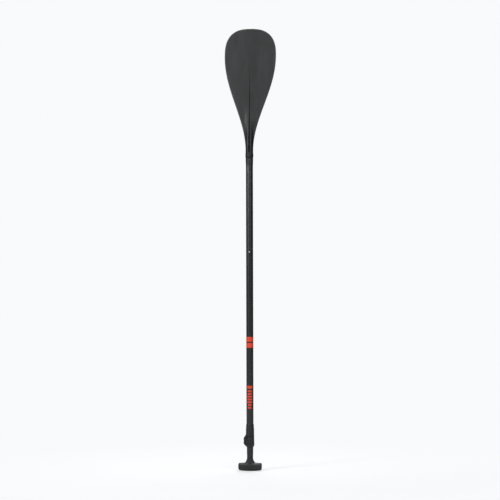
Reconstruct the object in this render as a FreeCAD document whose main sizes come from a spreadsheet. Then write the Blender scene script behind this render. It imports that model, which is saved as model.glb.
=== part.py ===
"""Adjustable single blade paddle: blade on top, T-grip at the foot, shaft along +Z.

Millimetres. The origin is on the shaft's axis at the foot of the grip. The blade is as wide
as X, its power face looks towards -Y, and it leans away from that face towards +Y.
"""
import FreeCAD, Part
import Sketcher
import math
import os

V = FreeCAD.Vector

# alias, millimetres or degrees, what it is
SIZES = [
    ("overall_length", 1800, "grip foot to blade tip, at the shortest setting"),
    ("tube_diameter", 28.6, "both outer tubes, outside"),
    ("tube_wall", 1.2, "both outer tubes"),
    ("glue_gap", 0.05, "radial, between a plug or ferrule and its tube"),
    ("slide_gap", 0.07, "radial, between the telescoping tubes"),
    ("part_gap", 0.3, "between faces of pieces that move past each other"),
    ("blade_length", 533, "foot of the blade's ring to the tip"),
    ("blade_width", 210, "widest, edge to edge"),
    ("tip_to_widest", 112, "tip to the widest station"),
    ("tip_squareness", 2.6, "exponent of the rounded tip, 2 is an ellipse"),
    ("taper_fullness", 0.93, "exponent of the long taper, less than 1 is fuller"),
    ("blade_edge", 2.4, "thickness at the rim"),
    ("blade_middle", 6, "thickness on the centre line, without the spine"),
    ("blade_dihedral", 5, "how far the rims lie behind the centre line"),
    ("blade_rake", 8, "lean of the blade, degrees"),
    ("rake_bend", 140, "length over which the rake starts"),
    ("neck_diameter", 30.8, "round neck over the ring"),
    ("neck_length", 35, "ring's foot to where the plate starts to widen"),
    ("ring_diameter", 32, "ring at the foot of the neck"),
    ("ring_height", 21, "along the shaft"),
    ("spigot_length", 85, "blade's plug inside its tube"),
    ("spigot_bore", 18, "hollow in the plug"),
    ("spine_length", 360, "ring's foot to where the spine has faded"),
    ("groove_length", 350, "crease down the power face"),
    ("groove_width", 5.4, "crease at the neck"),
    ("groove_depth", 5, "crease at the neck"),
    ("neck_collar_length", 26, "tapered ring between the blade and its tube"),
    ("neck_collar_rise", 1.05, "how far the tapered ring stands over the tube, at its top"),
    ("joint_height", 901.5, "middle of the joint between the outer tubes"),
    ("joint_ring_height", 3, "ring between the outer tubes"),
    ("joint_ring_step", 0.3, "how far the ring stands back from the tubes"),
    ("ferrule_reach", 75, "ferrule into each outer tube"),
    ("ferrule_wall", 1.6, "joint ferrule"),
    ("button_drop", 13.5, "lock button below the middle of the joint"),
    ("button_diameter", 7, "lock button"),
    ("button_stand", 1.8, "lock button proud of the tube"),
    ("button_travel", 4, "lock button, pressed in"),
    ("spring_width", 7, "spring clip behind the button"),
    ("spring_thickness", 0.6, "spring clip"),
    ("spring_drop", 38, "button to the clip's bend"),
    ("plug_length", 24, "foam plugs"),
    ("decal_film", 0.14, "printed film"),
    ("band_height", 19.5, "each ring of colour"),
    ("band_pitch", 24.4, "from one ring of colour to the next"),
    ("band_foot", 500, "foot of the lower ring of colour"),
    ("panel_foot", 253, "foot of the printed bars"),
    ("panel_arc", 88, "printed bars around the tube, degrees"),
    ("bar_height", 26, "tallest printed bar"),
    ("bar_small_height", 9.2, "each other printed bar"),
    ("bar_space", 2, "between printed bars"),
    ("grip_height", 96, "foot of the grip to the top of its neck"),
    ("grip_neck_diameter", 26.3, "top of the grip's neck"),
    ("grip_waist_diameter", 24.7, "thinnest place of the grip's neck"),
    ("grip_waist_height", 54, "where the flare into the bar starts"),
    ("grip_spigot_length", 60, "grip's plug inside the inner tube"),
    ("bar_width", 95, "cross bar with its caps, end to end"),
    ("bar_depth", 30, "cross bar, front to back"),
    ("bar_tall", 34, "cross bar at its middle"),
    ("bar_end_tall", 28.5, "cross bar at its ends"),
    ("cap_length", 5.5, "end caps of the cross bar"),
    ("flare_width", 59.5, "flare where it meets the bar"),
    ("handle_length", 560, "inner tube"),
    ("handle_wall", 1.6, "inner tube"),
    ("key_width", 4, "groove down the back of the inner tube"),
    ("key_depth", 0.8, "groove down the back of the inner tube"),
    ("bush_height", 12, "head of the guide bush"),
    ("clamp_foot", 97, "foot of the clamp"),
    ("clamp_length", 94, "clamp, along the shaft"),
    ("clamp_lip", 4, "lip under the middle tube"),
    ("clamp_wall", 3.45, "clamp's band, over the middle tube"),
    ("clamp_neck_wall", 2.2, "clamp under its tapered mouth, over the middle tube"),
    ("clamp_band_height", 43.5, "foot of the clamp to the relief slit"),
    ("clamp_mouth", 21, "length of the tapered mouth"),
    ("clamp_split", 2.4, "gap between the ears"),
    ("ear_thickness", 7, "each ear"),
    ("ear_rim", 6.5, "bolt's axis to the edge of the ears"),
    ("ear_bevel", 9, "slope at the ears' top and foot"),
    ("slit_height", 1.6, "relief slit over the band"),
    ("slit_arc", 236, "relief slit, degrees"),
    ("bolt_diameter", 5, "clamp bolt"),
    ("barrel_diameter", 8, "lever's pivot"),
    ("cam_radius", 6.5, "lever's head, from its pivot, when closed"),
    ("cam_lift", 0.4, "cam's centre from its pivot"),
    ("saddle_thickness", 1.3, "thinnest place of the wear saddle"),
    ("lever_height", 23, "lever, along the shaft"),
    ("lever_thickness", 3, "lever's arm"),
    ("lever_arc", 100, "lever's arm round the clamp, degrees"),
    ("fork_gap", 6, "slot in the lever's head"),
    ("nut_diameter", 10.5, "thumb nut"),
    ("nut_height", 6, "thumb nut"),
]

doc = FreeCAD.newDocument("single_blade_paddle")
sheet = doc.addObject("Spreadsheet::Sheet", "Sizes")
for row, (alias, value, meaning) in enumerate(SIZES, 1):
    sheet.set(f"A{row}", meaning)
    sheet.set(f"B{row}", str(value))
    sheet.setAlias(f"B{row}", alias)
doc.recompute()

# Places that follow from the sizes, as expressions for the bound features.
TUBE = "Sizes.tube_diameter / 2"
BORE = "(Sizes.tube_diameter / 2 - Sizes.tube_wall)"
PLUG = f"({BORE} - Sizes.glue_gap)"
HANDLE = f"({BORE} - Sizes.slide_gap)"
HANDLE_BORE = f"({HANDLE} - Sizes.handle_wall)"
HANDLE_PLUG = f"({HANDLE_BORE} - Sizes.glue_gap)"
BLADE_FOOT = "(Sizes.overall_length - Sizes.blade_length)"
TUBE_TOP = f"({BLADE_FOOT} - Sizes.neck_collar_length)"
JOINT_TOP = "(Sizes.joint_height + Sizes.joint_ring_height / 2)"
JOINT_FOOT = "(Sizes.joint_height - Sizes.joint_ring_height / 2)"
BUTTON_HEIGHT = "(Sizes.joint_height - Sizes.button_drop)"
TUBE_FOOT = "(Sizes.clamp_foot + Sizes.clamp_lip)"
HANDLE_TOP = "(Sizes.grip_height + Sizes.handle_length)"
CLAMP_TOP = "(Sizes.clamp_foot + Sizes.clamp_length)"
SLIT_FOOT = "(Sizes.clamp_foot + Sizes.clamp_band_height)"
LEVER_MIDDLE = "(Sizes.clamp_foot + Sizes.clamp_band_height * 0.6)"
EAR_FACE = "(Sizes.clamp_split / 2 + Sizes.ear_thickness)"
PIVOT_OUT = f"({EAR_FACE} + Sizes.saddle_thickness + Sizes.part_gap + Sizes.cam_radius)"
BAND = f"({TUBE} + Sizes.clamp_wall)"
HEAD_CLEAR = f"({BAND} + Sizes.cam_radius + Sizes.part_gap + 0.11)"
BOLT_OUT = f"(sqrt({HEAD_CLEAR} ^ 2 - {PIVOT_OUT} ^ 2))"
EAR_REACH = f"({BOLT_OUT} + Sizes.ear_rim)"


def size(alias):
    """The value of one size, for shapes that code works out."""
    return float(sheet.get(alias))


def bind(thing, **expressions):
    for name, expression in expressions.items():
        thing.setExpression(name, expression)


def new_body(label):
    body = doc.addObject("PartDesign::Body", label)
    body.Label = label
    return body


def new_sketch(body, role, name, lift=None):
    """A sketch on one of the body's own origin planes, lifted off it if wanted."""
    plane = next(f for f in body.Origin.OriginFeatures if f.Role == role)
    sketch = body.newObject("Sketcher::SketchObject", name)
    sketch.AttachmentSupport = [(plane, "")]
    sketch.MapMode = "FlatFace"
    if lift:
        sketch.setExpression("AttachmentOffset.Base.z", lift)
    return sketch


def add_outline(sketch, corners):
    """A closed outline of straight runs, each corner placed by two expressions."""
    first = sketch.GeometryCount
    count = len(corners)
    for i in range(count):
        ends = [V(10 * math.cos(k), 10 * math.sin(k), 0) for k in (i, i + 1)]
        sketch.addGeometry(Part.LineSegment(*ends), False)
    for i in range(count):
        following = first + (i + 1) % count
        sketch.addConstraint(Sketcher.Constraint("Coincident", first + i, 2, following, 1))
    for i, (across, up) in enumerate(corners):
        for kind, expression in (("DistanceX", across), ("DistanceY", up)):
            rule = sketch.addConstraint(Sketcher.Constraint(kind, -1, 1, first + i, 1, 1.0))
            sketch.setExpression(f"Constraints[{rule}]", expression)


def add_circle(sketch, across, up, radius):
    circle = sketch.addGeometry(Part.Circle(V(1, 1, 0), V(0, 0, 1), 3), False)
    rules = (
        (Sketcher.Constraint("DistanceX", -1, 1, circle, 3, 1.0), across),
        (Sketcher.Constraint("DistanceY", -1, 1, circle, 3, 1.0), up),
        (Sketcher.Constraint("Radius", circle, 3.0), radius),
    )
    for constraint, expression in rules:
        rule = sketch.addConstraint(constraint)
        sketch.setExpression(f"Constraints[{rule}]", expression)


def box_corners(left, right, low, high):
    return [(left, low), (right, low), (right, high), (left, high)]


def feature(body, kind, name, sketch, reverse=False, midplane=False, **expressions):
    """One pad, pocket, revolution or groove made from a sketch."""
    made = body.newObject(f"PartDesign::{kind}", name)
    made.Profile = sketch
    made.Reversed = reverse
    made.Midplane = midplane
    bind(made, **expressions)
    return made


def turned(label, corners, role="XZ_Plane", arc="360", midplane=False):
    """A body turned about its own Z axis from a closed outline of (radius, height) corners."""
    body = new_body(label)
    sketch = new_sketch(body, role, f"{label}_profile")
    add_outline(sketch, corners)
    spin = feature(body, "Revolution", f"{label}_turn", sketch, midplane=midplane, Angle=arc)
    spin.ReferenceAxis = (sketch, ["V_Axis"])
    return body


def aim(body, direction, across, out, up):
    """Turns a body whose axis is Z to lie along +Y or -Y, with its origin at a bound place."""
    body.Placement = FreeCAD.Placement(V(0, 0, 0), FreeCAD.Rotation(V(0, 0, 1), direction))
    for axis, expression in zip("xyz", (across, out, up)):
        body.setExpression(f"Placement.Base.{axis}", expression)


def tube_corners(bore, outside, foot, top):
    return [(bore, foot), (outside, foot), (outside, top), (bore, top)]


# ---------------------------------------------------------------- blade
def half_width(height):
    """Half of the blade's width at a height: a rounded tip, then a long smooth taper."""
    half = size("blade_width") / 2
    neck = size("neck_diameter") / 2
    from_tip = size("overall_length") - height
    widest = size("tip_to_widest")
    if from_tip <= 0:
        return 0.0
    if from_tip < widest:
        power = size("tip_squareness")
        return half * (1 - (1 - from_tip / widest) ** power) ** (1 / power)
    taper = size("blade_length") - size("neck_length") - widest
    share = min((from_tip - widest) / taper, 1)
    fall = (1 + math.cos(math.pi * share)) / 2
    return neck + (half - neck) * fall ** size("taper_fullness")


def lean(height):
    """How far the blade's middle plane lies behind the shaft's axis."""
    foot = size("overall_length") - size("blade_length") + size("ring_height")
    up = max(height - foot, 0)
    slope = math.tan(math.radians(size("blade_rake")))
    bend = size("rake_bend")
    return slope * up * up / (2 * bend) if up < bend else slope * (up - bend / 2)


def plate_faces(across, height):
    """The front and back Y of the blade's plate at one place."""
    half = size("blade_width") / 2
    edge, middle = size("blade_edge"), size("blade_middle")
    share = across / half
    thick = edge + (middle - edge) * math.exp(-((across / (0.45 * half)) ** 2))
    centre = lean(height) + size("blade_dihedral") * share * share
    return centre - thick / 2, centre + thick / 2


def spine_section(height):
    """Half width, half depth and centre of the rounded spine that runs up from the neck."""
    foot = size("overall_length") - size("blade_length")
    root = foot + size("ring_height")
    share = min(max((height - root) / (size("spine_length") - size("ring_height")), 0), 1)
    neck = size("neck_diameter") / 2
    keep = (1 + math.cos(math.pi * share ** 0.62)) / 2
    return neck * (0.12 + 0.88 * keep), neck * (0.16 + 0.84 * keep), lean(height)


def blade_outline_prism():
    """The blade's outline, seen from the front, as a deep prism."""
    top = size("overall_length")
    foot = top - size("blade_length") + size("ring_height") / 2
    widest = size("tip_to_widest")
    power = size("tip_squareness")
    tip_turns = [math.radians(d) for d in (0, 10, 22, 34, 46, 58, 70, 80)]
    heights = [top - widest * (1 - math.cos(a) ** (2 / power)) for a in tip_turns]
    taper = size("blade_length") - size("neck_length") - widest
    heights += [top - widest - taper * k / 10 for k in range(11)]
    right = [V(half_width(z), 0, z) for z in heights]
    left = [V(-p.x, 0, p.z) for p in reversed(right[1:])]
    rim = Part.BSplineCurve()
    rim.interpolate(left + right)
    neck = size("neck_diameter") / 2
    corners = [right[-1], V(neck, 0, foot), V(-neck, 0, foot), left[0]]
    wire = Part.Wire([rim.toShape()] + [
        Part.LineSegment(a, b).toShape() for a, b in zip(corners, corners[1:])
    ])
    depth = size("blade_length")
    face = Part.Face(wire)
    face.translate(V(0, -depth / 2, 0))
    return face.extrude(V(0, depth, 0))


def blade_plate_slab():
    """The plate's two curved faces, wider than the outline, closed into a solid."""
    reach = size("blade_width") / 2 + 6
    foot = size("overall_length") - size("blade_length") + size("ring_height") / 3
    top = size("overall_length") + 6
    columns = [reach * k / 8 for k in range(-8, 9)]
    rows = [foot + (top - foot) * k / 20 for k in range(21)]
    sides = []
    for side in (0, 1):
        grid = [[V(x, plate_faces(x, z)[side], z) for z in rows] for x in columns]
        surface = Part.BSplineSurface()
        surface.interpolate(grid)
        sides.append(surface.toShape())
    corners = [(x, z) for x, z in ((-reach, foot), (reach, foot), (reach, top), (-reach, top))]

    def edge_at(shape, a, b):
        middle = V((a[0] + b[0]) / 2, 0, (a[1] + b[1]) / 2)
        return min(shape.Edges, key=lambda e: math.hypot(
            e.CenterOfMass.x - middle.x, e.CenterOfMass.z - middle.z))

    walls = []
    for a, b in zip(corners, corners[1:] + corners[:1]):
        walls.append(Part.makeRuledSurface(edge_at(sides[0], a, b), edge_at(sides[1], a, b)))
    shell = Part.makeShell(sides + walls)
    shell.sewShape()
    solid = Part.makeSolid(shell)
    return solid if solid.Volume > 0 else solid.reversed()


def blade_spine():
    """The rounded spine from the neck up the blade, as a loft through ellipses."""
    foot = size("overall_length") - size("blade_length") + size("ring_height") / 2
    root = foot + size("ring_height") / 2
    top = size("overall_length") - size("blade_length") + size("spine_length")
    heights = [foot, root] + [root + (top - root) * k / 8 for k in range(1, 9)]
    wires = []
    for z in heights:
        wide, deep, centre = spine_section(z)
        if wide >= deep:
            ellipse = Part.Ellipse(V(0, centre, z), wide, deep)
        else:
            ellipse = Part.Ellipse(V(0, centre + deep, z), V(wide, centre, z), V(0, centre, z))
        wires.append(Part.Wire([ellipse.toShape()]))
    return Part.makeLoft(wires, True, False)


def blade_groove():
    """The cutter of the crease: a wedge that gets narrower and shallower up the blade."""
    foot = size("overall_length") - size("blade_length")
    start = foot + size("ring_height") + 2
    length = size("groove_length")
    wires = []
    for share in (0, 0.12, 0.3, 0.5, 0.7, 0.85, 1):
        z = start + length * share
        wide, deep, centre = spine_section(z)
        front = min(plate_faces(0, z)[0], centre - deep)
        keep = (1 - share) ** 1.2
        half = size("groove_width") / 2 * (0.3 + 0.7 * keep)
        cut = size("groove_depth") * keep + 0.15
        slope = half / cut
        clear = 6
        corners = [V(0, front + cut, z), V(half + slope * clear, front - clear, z),
                   V(-half - slope * clear, front - clear, z)]
        wires.append(Part.makePolygon(corners + corners[:1]))
    return Part.makeLoft(wires, True, True)


root_corners = [
    ("0", f"{BLADE_FOOT} - Sizes.spigot_length + Sizes.spigot_bore"),
    ("Sizes.spigot_bore / 2", f"{BLADE_FOOT} - Sizes.spigot_length + Sizes.spigot_bore / 2"),
    ("Sizes.spigot_bore / 2", f"{BLADE_FOOT} - Sizes.spigot_length"),
    (f"{PLUG} - 1", f"{BLADE_FOOT} - Sizes.spigot_length"),
    (PLUG, f"{BLADE_FOOT} - Sizes.spigot_length + 1"),
    (PLUG, BLADE_FOOT),
    ("Sizes.ring_diameter / 2 - 1", BLADE_FOOT),
    ("Sizes.ring_diameter / 2", f"{BLADE_FOOT} + 1"),
    ("Sizes.ring_diameter / 2", f"{BLADE_FOOT} + Sizes.ring_height - 1"),
    ("Sizes.neck_diameter / 2", f"{BLADE_FOOT} + Sizes.ring_height"),
    ("0", f"{BLADE_FOOT} + Sizes.ring_height"),
]
blade_root = turned("blade_root", root_corners)
doc.recompute()
plate = blade_outline_prism().common(blade_plate_slab())
blade_shape = blade_root.Shape.fuse([plate, blade_spine()]).cut(blade_groove())
blade = doc.addObject("Part::Feature", "blade")
blade.Label = "blade"
blade.Shape = blade_shape.Solids[0]
blade.Placement = FreeCAD.Placement()

neck_collar = turned("neck_collar", [
    (BORE, TUBE_TOP),
    (TUBE, TUBE_TOP),
    (f"{TUBE} + Sizes.neck_collar_rise", f"{BLADE_FOOT} - 2"),
    (f"{TUBE} + Sizes.neck_collar_rise - 0.6", BLADE_FOOT),
    (BORE, BLADE_FOOT),
])

# ---------------------------------------------------------------- tubes and their joint
blade_tube = turned("blade_tube", tube_corners(BORE, TUBE, JOINT_TOP, TUBE_TOP))

joint_ring = turned("joint_ring", tube_corners(
    BORE, f"{TUBE} - Sizes.joint_ring_step", JOINT_FOOT, JOINT_TOP))

ferrule_bore = f"({PLUG} - Sizes.ferrule_wall)"
joint_ferrule = turned("joint_ferrule", [
    (ferrule_bore, f"{JOINT_FOOT} - Sizes.ferrule_reach"),
    (f"{PLUG} - 1", f"{JOINT_FOOT} - Sizes.ferrule_reach"),
    (PLUG, f"{JOINT_FOOT} - Sizes.ferrule_reach + 2"),
    (PLUG, f"{JOINT_TOP} + Sizes.ferrule_reach"),
    (ferrule_bore, f"{JOINT_TOP} + Sizes.ferrule_reach"),
])
ferrule_hole = new_sketch(joint_ferrule, "XZ_Plane", "ferrule_hole_circle")
add_circle(ferrule_hole, "0", BUTTON_HEIGHT, "Sizes.button_diameter / 2 + Sizes.part_gap")
feature(joint_ferrule, "Pocket", "ferrule_hole", ferrule_hole, reverse=True, Length=TUBE)

BUTTON_FLANGE = f"({ferrule_bore} - 1.3)"
lock_button = turned("lock_button", [
    ("0", f"{BUTTON_FLANGE} - 1"),
    ("Sizes.button_diameter / 2 + 1.1", f"{BUTTON_FLANGE} - 1"),
    ("Sizes.button_diameter / 2 + 1.1", BUTTON_FLANGE),
    ("Sizes.button_diameter / 2", BUTTON_FLANGE),
    ("Sizes.button_diameter / 2", f"{TUBE} + Sizes.button_stand - 1.2"),
    ("Sizes.button_diameter / 2 - 1.3", f"{TUBE} + Sizes.button_stand - 0.2"),
    ("0", f"{TUBE} + Sizes.button_stand"),
])
aim(lock_button, V(0, -1, 0), "0", "0", BUTTON_HEIGHT)


def spring_clip_shape():
    """A strip bent to a V: one arm behind the button, the other on the ferrule's far wall."""
    bore = size("tube_diameter") / 2 - size("tube_wall") - size("glue_gap") - size("ferrule_wall")
    height = size("joint_height") - size("button_drop")
    thick, reach = size("spring_thickness"), size("button_diameter") / 2 + 1
    front = -(bore - 1.3) + 1 + thick
    back = math.sqrt(bore ** 2 - (size("spring_width") / 2) ** 2) - thick / 2 - 0.1
    bend = height - size("spring_drop")
    middle = (front + back) / 2
    path = [V(0, front, height + reach), V(0, front, height - reach), V(0, middle - 2, bend),
            V(0, middle + 2, bend), V(0, back, height - 2 * reach), V(0, back, height + reach)]
    strip = Part.makePolygon(path).makeOffset2D(thick / 2, fill=True, openResult=False)
    strip.translate(V(-size("spring_width") / 2, 0, 0))
    return strip.extrude(V(size("spring_width"), 0, 0))


button_spring = doc.addObject("Part::Feature", "button_spring")
button_spring.Label = "button_spring"
button_spring.Shape = spring_clip_shape()
button_spring.Placement = FreeCAD.Placement()

plug_foot = f"({JOINT_TOP} + Sizes.ferrule_reach + 2)"
blade_tube_plug = turned("blade_tube_plug", [
    ("0", plug_foot), (f"{PLUG} - 1", plug_foot), (PLUG, f"{plug_foot} + 1"),
    (PLUG, f"{plug_foot} + Sizes.plug_length - 1"),
    (f"{PLUG} - 1", f"{plug_foot} + Sizes.plug_length"), ("0", f"{plug_foot} + Sizes.plug_length"),
])

shaft_tube = turned("shaft_tube", tube_corners(BORE, TUBE, TUBE_FOOT, JOINT_FOOT))
tube_hole = new_sketch(shaft_tube, "XZ_Plane", "tube_hole_circle")
add_circle(tube_hole, "0", BUTTON_HEIGHT, "Sizes.button_diameter / 2 + Sizes.part_gap")
feature(shaft_tube, "Pocket", "tube_hole", tube_hole, reverse=True, Length=f"{TUBE} + 5")
tube_slot = new_sketch(shaft_tube, "YZ_Plane", "tube_slot_box")
add_outline(tube_slot, box_corners("-1", "1", f"{TUBE_FOOT} - 1", SLIT_FOOT))
slot_cut = feature(shaft_tube, "Pocket", "tube_slot", tube_slot, Length=f"{TUBE} + 5")
doc.recompute()
slots = shaft_tube.newObject("PartDesign::PolarPattern", "tube_slots")
slots.Originals = [slot_cut]
slots.Axis = (tube_slot, ["V_Axis"])
slots.Angle = 360
slots.Occurrences = 4
shaft_tube.Tip = slots

# ---------------------------------------------------------------- printed bands and bars
FILM_IN = f"({TUBE} + 0.03)"
FILM_OUT = f"({FILM_IN} + Sizes.decal_film)"
for label, steps in (("band_lower", 0), ("band_upper", 1)):
    band_foot = f"(Sizes.band_foot + Sizes.band_pitch * {steps})"
    turned(label, tube_corners(FILM_IN, FILM_OUT, band_foot, f"{band_foot} + Sizes.band_height"))

decal_panel = new_body("decal_panel")
decal_panel.AllowCompound = True
bars = new_sketch(decal_panel, "YZ_Plane", "bars_profile")
SMALL_BARS = 6
BAR_STEP = "(Sizes.bar_small_height + Sizes.bar_space)"
for k in range(SMALL_BARS + 1):
    foot = f"Sizes.panel_foot + {BAR_STEP} * {k}"
    height = "Sizes.bar_height" if k == SMALL_BARS else "Sizes.bar_small_height"
    add_outline(bars, box_corners(f"-{FILM_OUT}", f"-{FILM_IN}", foot, f"{foot} + {height}"))
printed = feature(decal_panel, "Revolution", "bars_turn", bars, midplane=True,
                  Angle="Sizes.panel_arc")
printed.ReferenceAxis = (bars, ["V_Axis"])

# ---------------------------------------------------------------- clamp
clamp_neck = f"({TUBE} + Sizes.clamp_neck_wall)"
clamp_collar = turned("clamp_collar", [
    ("0", "Sizes.clamp_foot"),
    (f"{BAND} - 3", "Sizes.clamp_foot"),
    (f"{BAND} - 0.4", "Sizes.clamp_foot + 6"),
    (BAND, "Sizes.clamp_foot + 12"),
    (f"{clamp_neck} + 0.4", SLIT_FOOT),
    (clamp_neck, f"{CLAMP_TOP} - Sizes.clamp_mouth"),
    (f"{TUBE} + 0.6", CLAMP_TOP),
    ("0", CLAMP_TOP),
])
ears = new_sketch(clamp_collar, "XZ_Plane", "ears_profile")
add_outline(ears, [
    (f"-{TUBE} + 3", "Sizes.clamp_foot + 3"),
    (f"-{TUBE} + 3", f"{SLIT_FOOT} + Sizes.ear_bevel"),
    (f"-{BAND} + 1", f"{SLIT_FOOT} + Sizes.ear_bevel * 0.8"),
    (f"-{EAR_REACH}", f"{SLIT_FOOT} - 4"),
    (f"-{EAR_REACH}", "Sizes.clamp_foot + 11"),
    (f"-{BAND} + 2", "Sizes.clamp_foot + 3"),
])
feature(clamp_collar, "Pad", "ears", ears, midplane=True, Length=f"2 * {EAR_FACE}")
bore_sketch = new_sketch(clamp_collar, "XZ_Plane", "clamp_bore_profile")
add_outline(bore_sketch, [
    ("0", "Sizes.clamp_foot - 1"),
    (f"{HANDLE} + Sizes.part_gap", "Sizes.clamp_foot - 1"),
    (f"{HANDLE} + Sizes.part_gap", TUBE_FOOT),
    (f"{TUBE} + Sizes.glue_gap", TUBE_FOOT),
    (f"{TUBE} + Sizes.glue_gap", f"{CLAMP_TOP} + 1"),
    ("0", f"{CLAMP_TOP} + 1"),
])
clamp_bore = feature(clamp_collar, "Groove", "clamp_bore", bore_sketch, Angle="360")
clamp_bore.ReferenceAxis = (bore_sketch, ["V_Axis"])
split = new_sketch(clamp_collar, "XZ_Plane", "split_box")
add_outline(split, box_corners(
    f"-{EAR_REACH} - 1", f"-{TUBE} + 6", "Sizes.clamp_foot - 1", SLIT_FOOT))
feature(clamp_collar, "Pocket", "clamp_split", split, midplane=True, Length="Sizes.clamp_split")
slit = new_sketch(clamp_collar, "XZ_Plane", "slit_box")
add_outline(slit, box_corners(
    f"-{EAR_REACH} - 9", f"-{TUBE} + 1", SLIT_FOOT, f"{SLIT_FOOT} + Sizes.slit_height"))
relief = feature(clamp_collar, "Groove", "relief_slit", slit, midplane=True, Angle="Sizes.slit_arc")
relief.ReferenceAxis = (slit, ["V_Axis"])
ear_hole = new_sketch(clamp_collar, "XZ_Plane", "ear_hole_circle")
add_circle(ear_hole, f"-{BOLT_OUT}", LEVER_MIDDLE, "Sizes.bolt_diameter / 2 + 0.15")
feature(clamp_collar, "Pocket", "ear_hole", ear_hole, midplane=True, Length=f"2 * {EAR_FACE} + 4")
nut_seat = new_sketch(clamp_collar, "XZ_Plane", "nut_seat_circle", lift=f"-{EAR_FACE}")
add_circle(nut_seat, f"-{BOLT_OUT}", LEVER_MIDDLE, "Sizes.nut_diameter / 2 + Sizes.part_gap")
feature(clamp_collar, "Pocket", "nut_seat", nut_seat, reverse=False, Length="Sizes.nut_height + 4")
key = new_sketch(clamp_collar, "XY_Plane", "key_box", lift="Sizes.clamp_foot")
add_outline(key, box_corners(
    "-Sizes.key_width / 2 + Sizes.part_gap", "Sizes.key_width / 2 - Sizes.part_gap",
    f"{HANDLE} - Sizes.key_depth + Sizes.part_gap", f"{HANDLE} + 1"))
feature(clamp_collar, "Pad", "key", key, Length="Sizes.clamp_lip")

lever_barrel = turned("lever_barrel", [
    ("0", "-Sizes.lever_height / 2"),
    ("Sizes.barrel_diameter / 2 - 0.6", "-Sizes.lever_height / 2"),
    ("Sizes.barrel_diameter / 2", "-Sizes.lever_height / 2 + 0.6"),
    ("Sizes.barrel_diameter / 2", "Sizes.lever_height / 2 - 0.6"),
    ("Sizes.barrel_diameter / 2 - 0.6", "Sizes.lever_height / 2"),
    ("0", "Sizes.lever_height / 2"),
])
barrel_hole = new_sketch(lever_barrel, "XZ_Plane", "barrel_hole_circle")
add_circle(barrel_hole, "0", "0", "Sizes.bolt_diameter / 2 + Sizes.glue_gap")
feature(lever_barrel, "Pocket", "barrel_hole", barrel_hole, midplane=True,
        Length="2 * Sizes.barrel_diameter")
bind(lever_barrel, **{
    "Placement.Base.x": f"-{BOLT_OUT}",
    "Placement.Base.y": f"-{PIVOT_OUT}",
    "Placement.Base.z": LEVER_MIDDLE,
})

BOLT_START = f"(-{PIVOT_OUT} - Sizes.barrel_diameter / 2 + 0.8)"
BOLT_END = f"({EAR_FACE} + Sizes.nut_height - 0.8)"
clamp_bolt = turned("clamp_bolt", [
    ("0", "0"), ("Sizes.bolt_diameter / 2 - 0.5", "0"), ("Sizes.bolt_diameter / 2", "0.5"),
    ("Sizes.bolt_diameter / 2", f"{BOLT_END} - {BOLT_START} - 0.5"),
    ("Sizes.bolt_diameter / 2 - 0.5", f"{BOLT_END} - {BOLT_START}"),
    ("0", f"{BOLT_END} - {BOLT_START}"),
])
aim(clamp_bolt, V(0, 1, 0), f"-{BOLT_OUT}", BOLT_START, LEVER_MIDDLE)

clamp_nut = turned("clamp_nut", [
    ("Sizes.bolt_diameter / 2 + Sizes.glue_gap", "0"),
    ("Sizes.nut_diameter / 2 - 0.8", "0"),
    ("Sizes.nut_diameter / 2", "0.8"),
    ("Sizes.nut_diameter / 2", "Sizes.nut_height - 1"),
    ("Sizes.nut_diameter / 2 - 1", "Sizes.nut_height"),
    ("Sizes.bolt_diameter / 2 + Sizes.glue_gap", "Sizes.nut_height"),
])
aim(clamp_nut, V(0, 1, 0), f"-{BOLT_OUT}", EAR_FACE, LEVER_MIDDLE)

cam_saddle = new_body("cam_saddle")
saddle_foot = f"{LEVER_MIDDLE} - Sizes.lever_height / 2"
saddle_box = new_sketch(cam_saddle, "XY_Plane", "saddle_box", lift=saddle_foot)
add_outline(saddle_box, box_corners(
    f"-{BOLT_OUT} - Sizes.cam_radius + 0.8", f"-{BOLT_OUT} + 2.4",
    f"-{PIVOT_OUT} + Sizes.cam_radius * 0.55", f"-{EAR_FACE}"))
feature(cam_saddle, "Pad", "saddle_block", saddle_box, Length="Sizes.lever_height")
seat = new_sketch(cam_saddle, "XY_Plane", "seat_circle", lift=f"{saddle_foot} - 1")
add_circle(seat, f"-{BOLT_OUT}", f"-{PIVOT_OUT}", "Sizes.cam_radius + Sizes.part_gap")
feature(cam_saddle, "Pocket", "saddle_seat", seat, reverse=True, Length="Sizes.lever_height + 2")
saddle_hole = new_sketch(cam_saddle, "XZ_Plane", "saddle_hole_circle")
add_circle(saddle_hole, f"-{BOLT_OUT}", LEVER_MIDDLE, "Sizes.bolt_diameter / 2 + 0.15")
feature(cam_saddle, "Pocket", "saddle_hole", saddle_hole, reverse=True, Length=f"{PIVOT_OUT} + 5")

arm_in = f"({BAND} + Sizes.part_gap + 0.1)"
arm_out = f"({arm_in} + Sizes.lever_thickness)"
arm_foot = f"({LEVER_MIDDLE} - Sizes.lever_height / 2)"
arm_top = f"({LEVER_MIDDLE} + Sizes.lever_height / 2)"
clamp_lever = turned("clamp_lever", [
    (f"-{arm_in}", arm_foot),
    (f"-{arm_in}", arm_top),
    (f"-{arm_out} + 1", arm_top),
    (f"-{arm_out}", f"{arm_top} - 1"),
    (f"-{arm_out}", f"{arm_foot} + 1"),
    (f"-{arm_out} + 1", arm_foot),
], role="YZ_Plane", arc="Sizes.lever_arc", midplane=True)
head = new_sketch(clamp_lever, "XY_Plane", "head_circle", lift=arm_foot)
add_circle(head, f"-{BOLT_OUT}", f"-{PIVOT_OUT} + Sizes.cam_lift",
           "Sizes.cam_radius - Sizes.cam_lift")
feature(clamp_lever, "Pad", "head", head, Length="Sizes.lever_height")
web = new_sketch(clamp_lever, "XY_Plane", "web_corners", lift=arm_foot)
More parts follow.
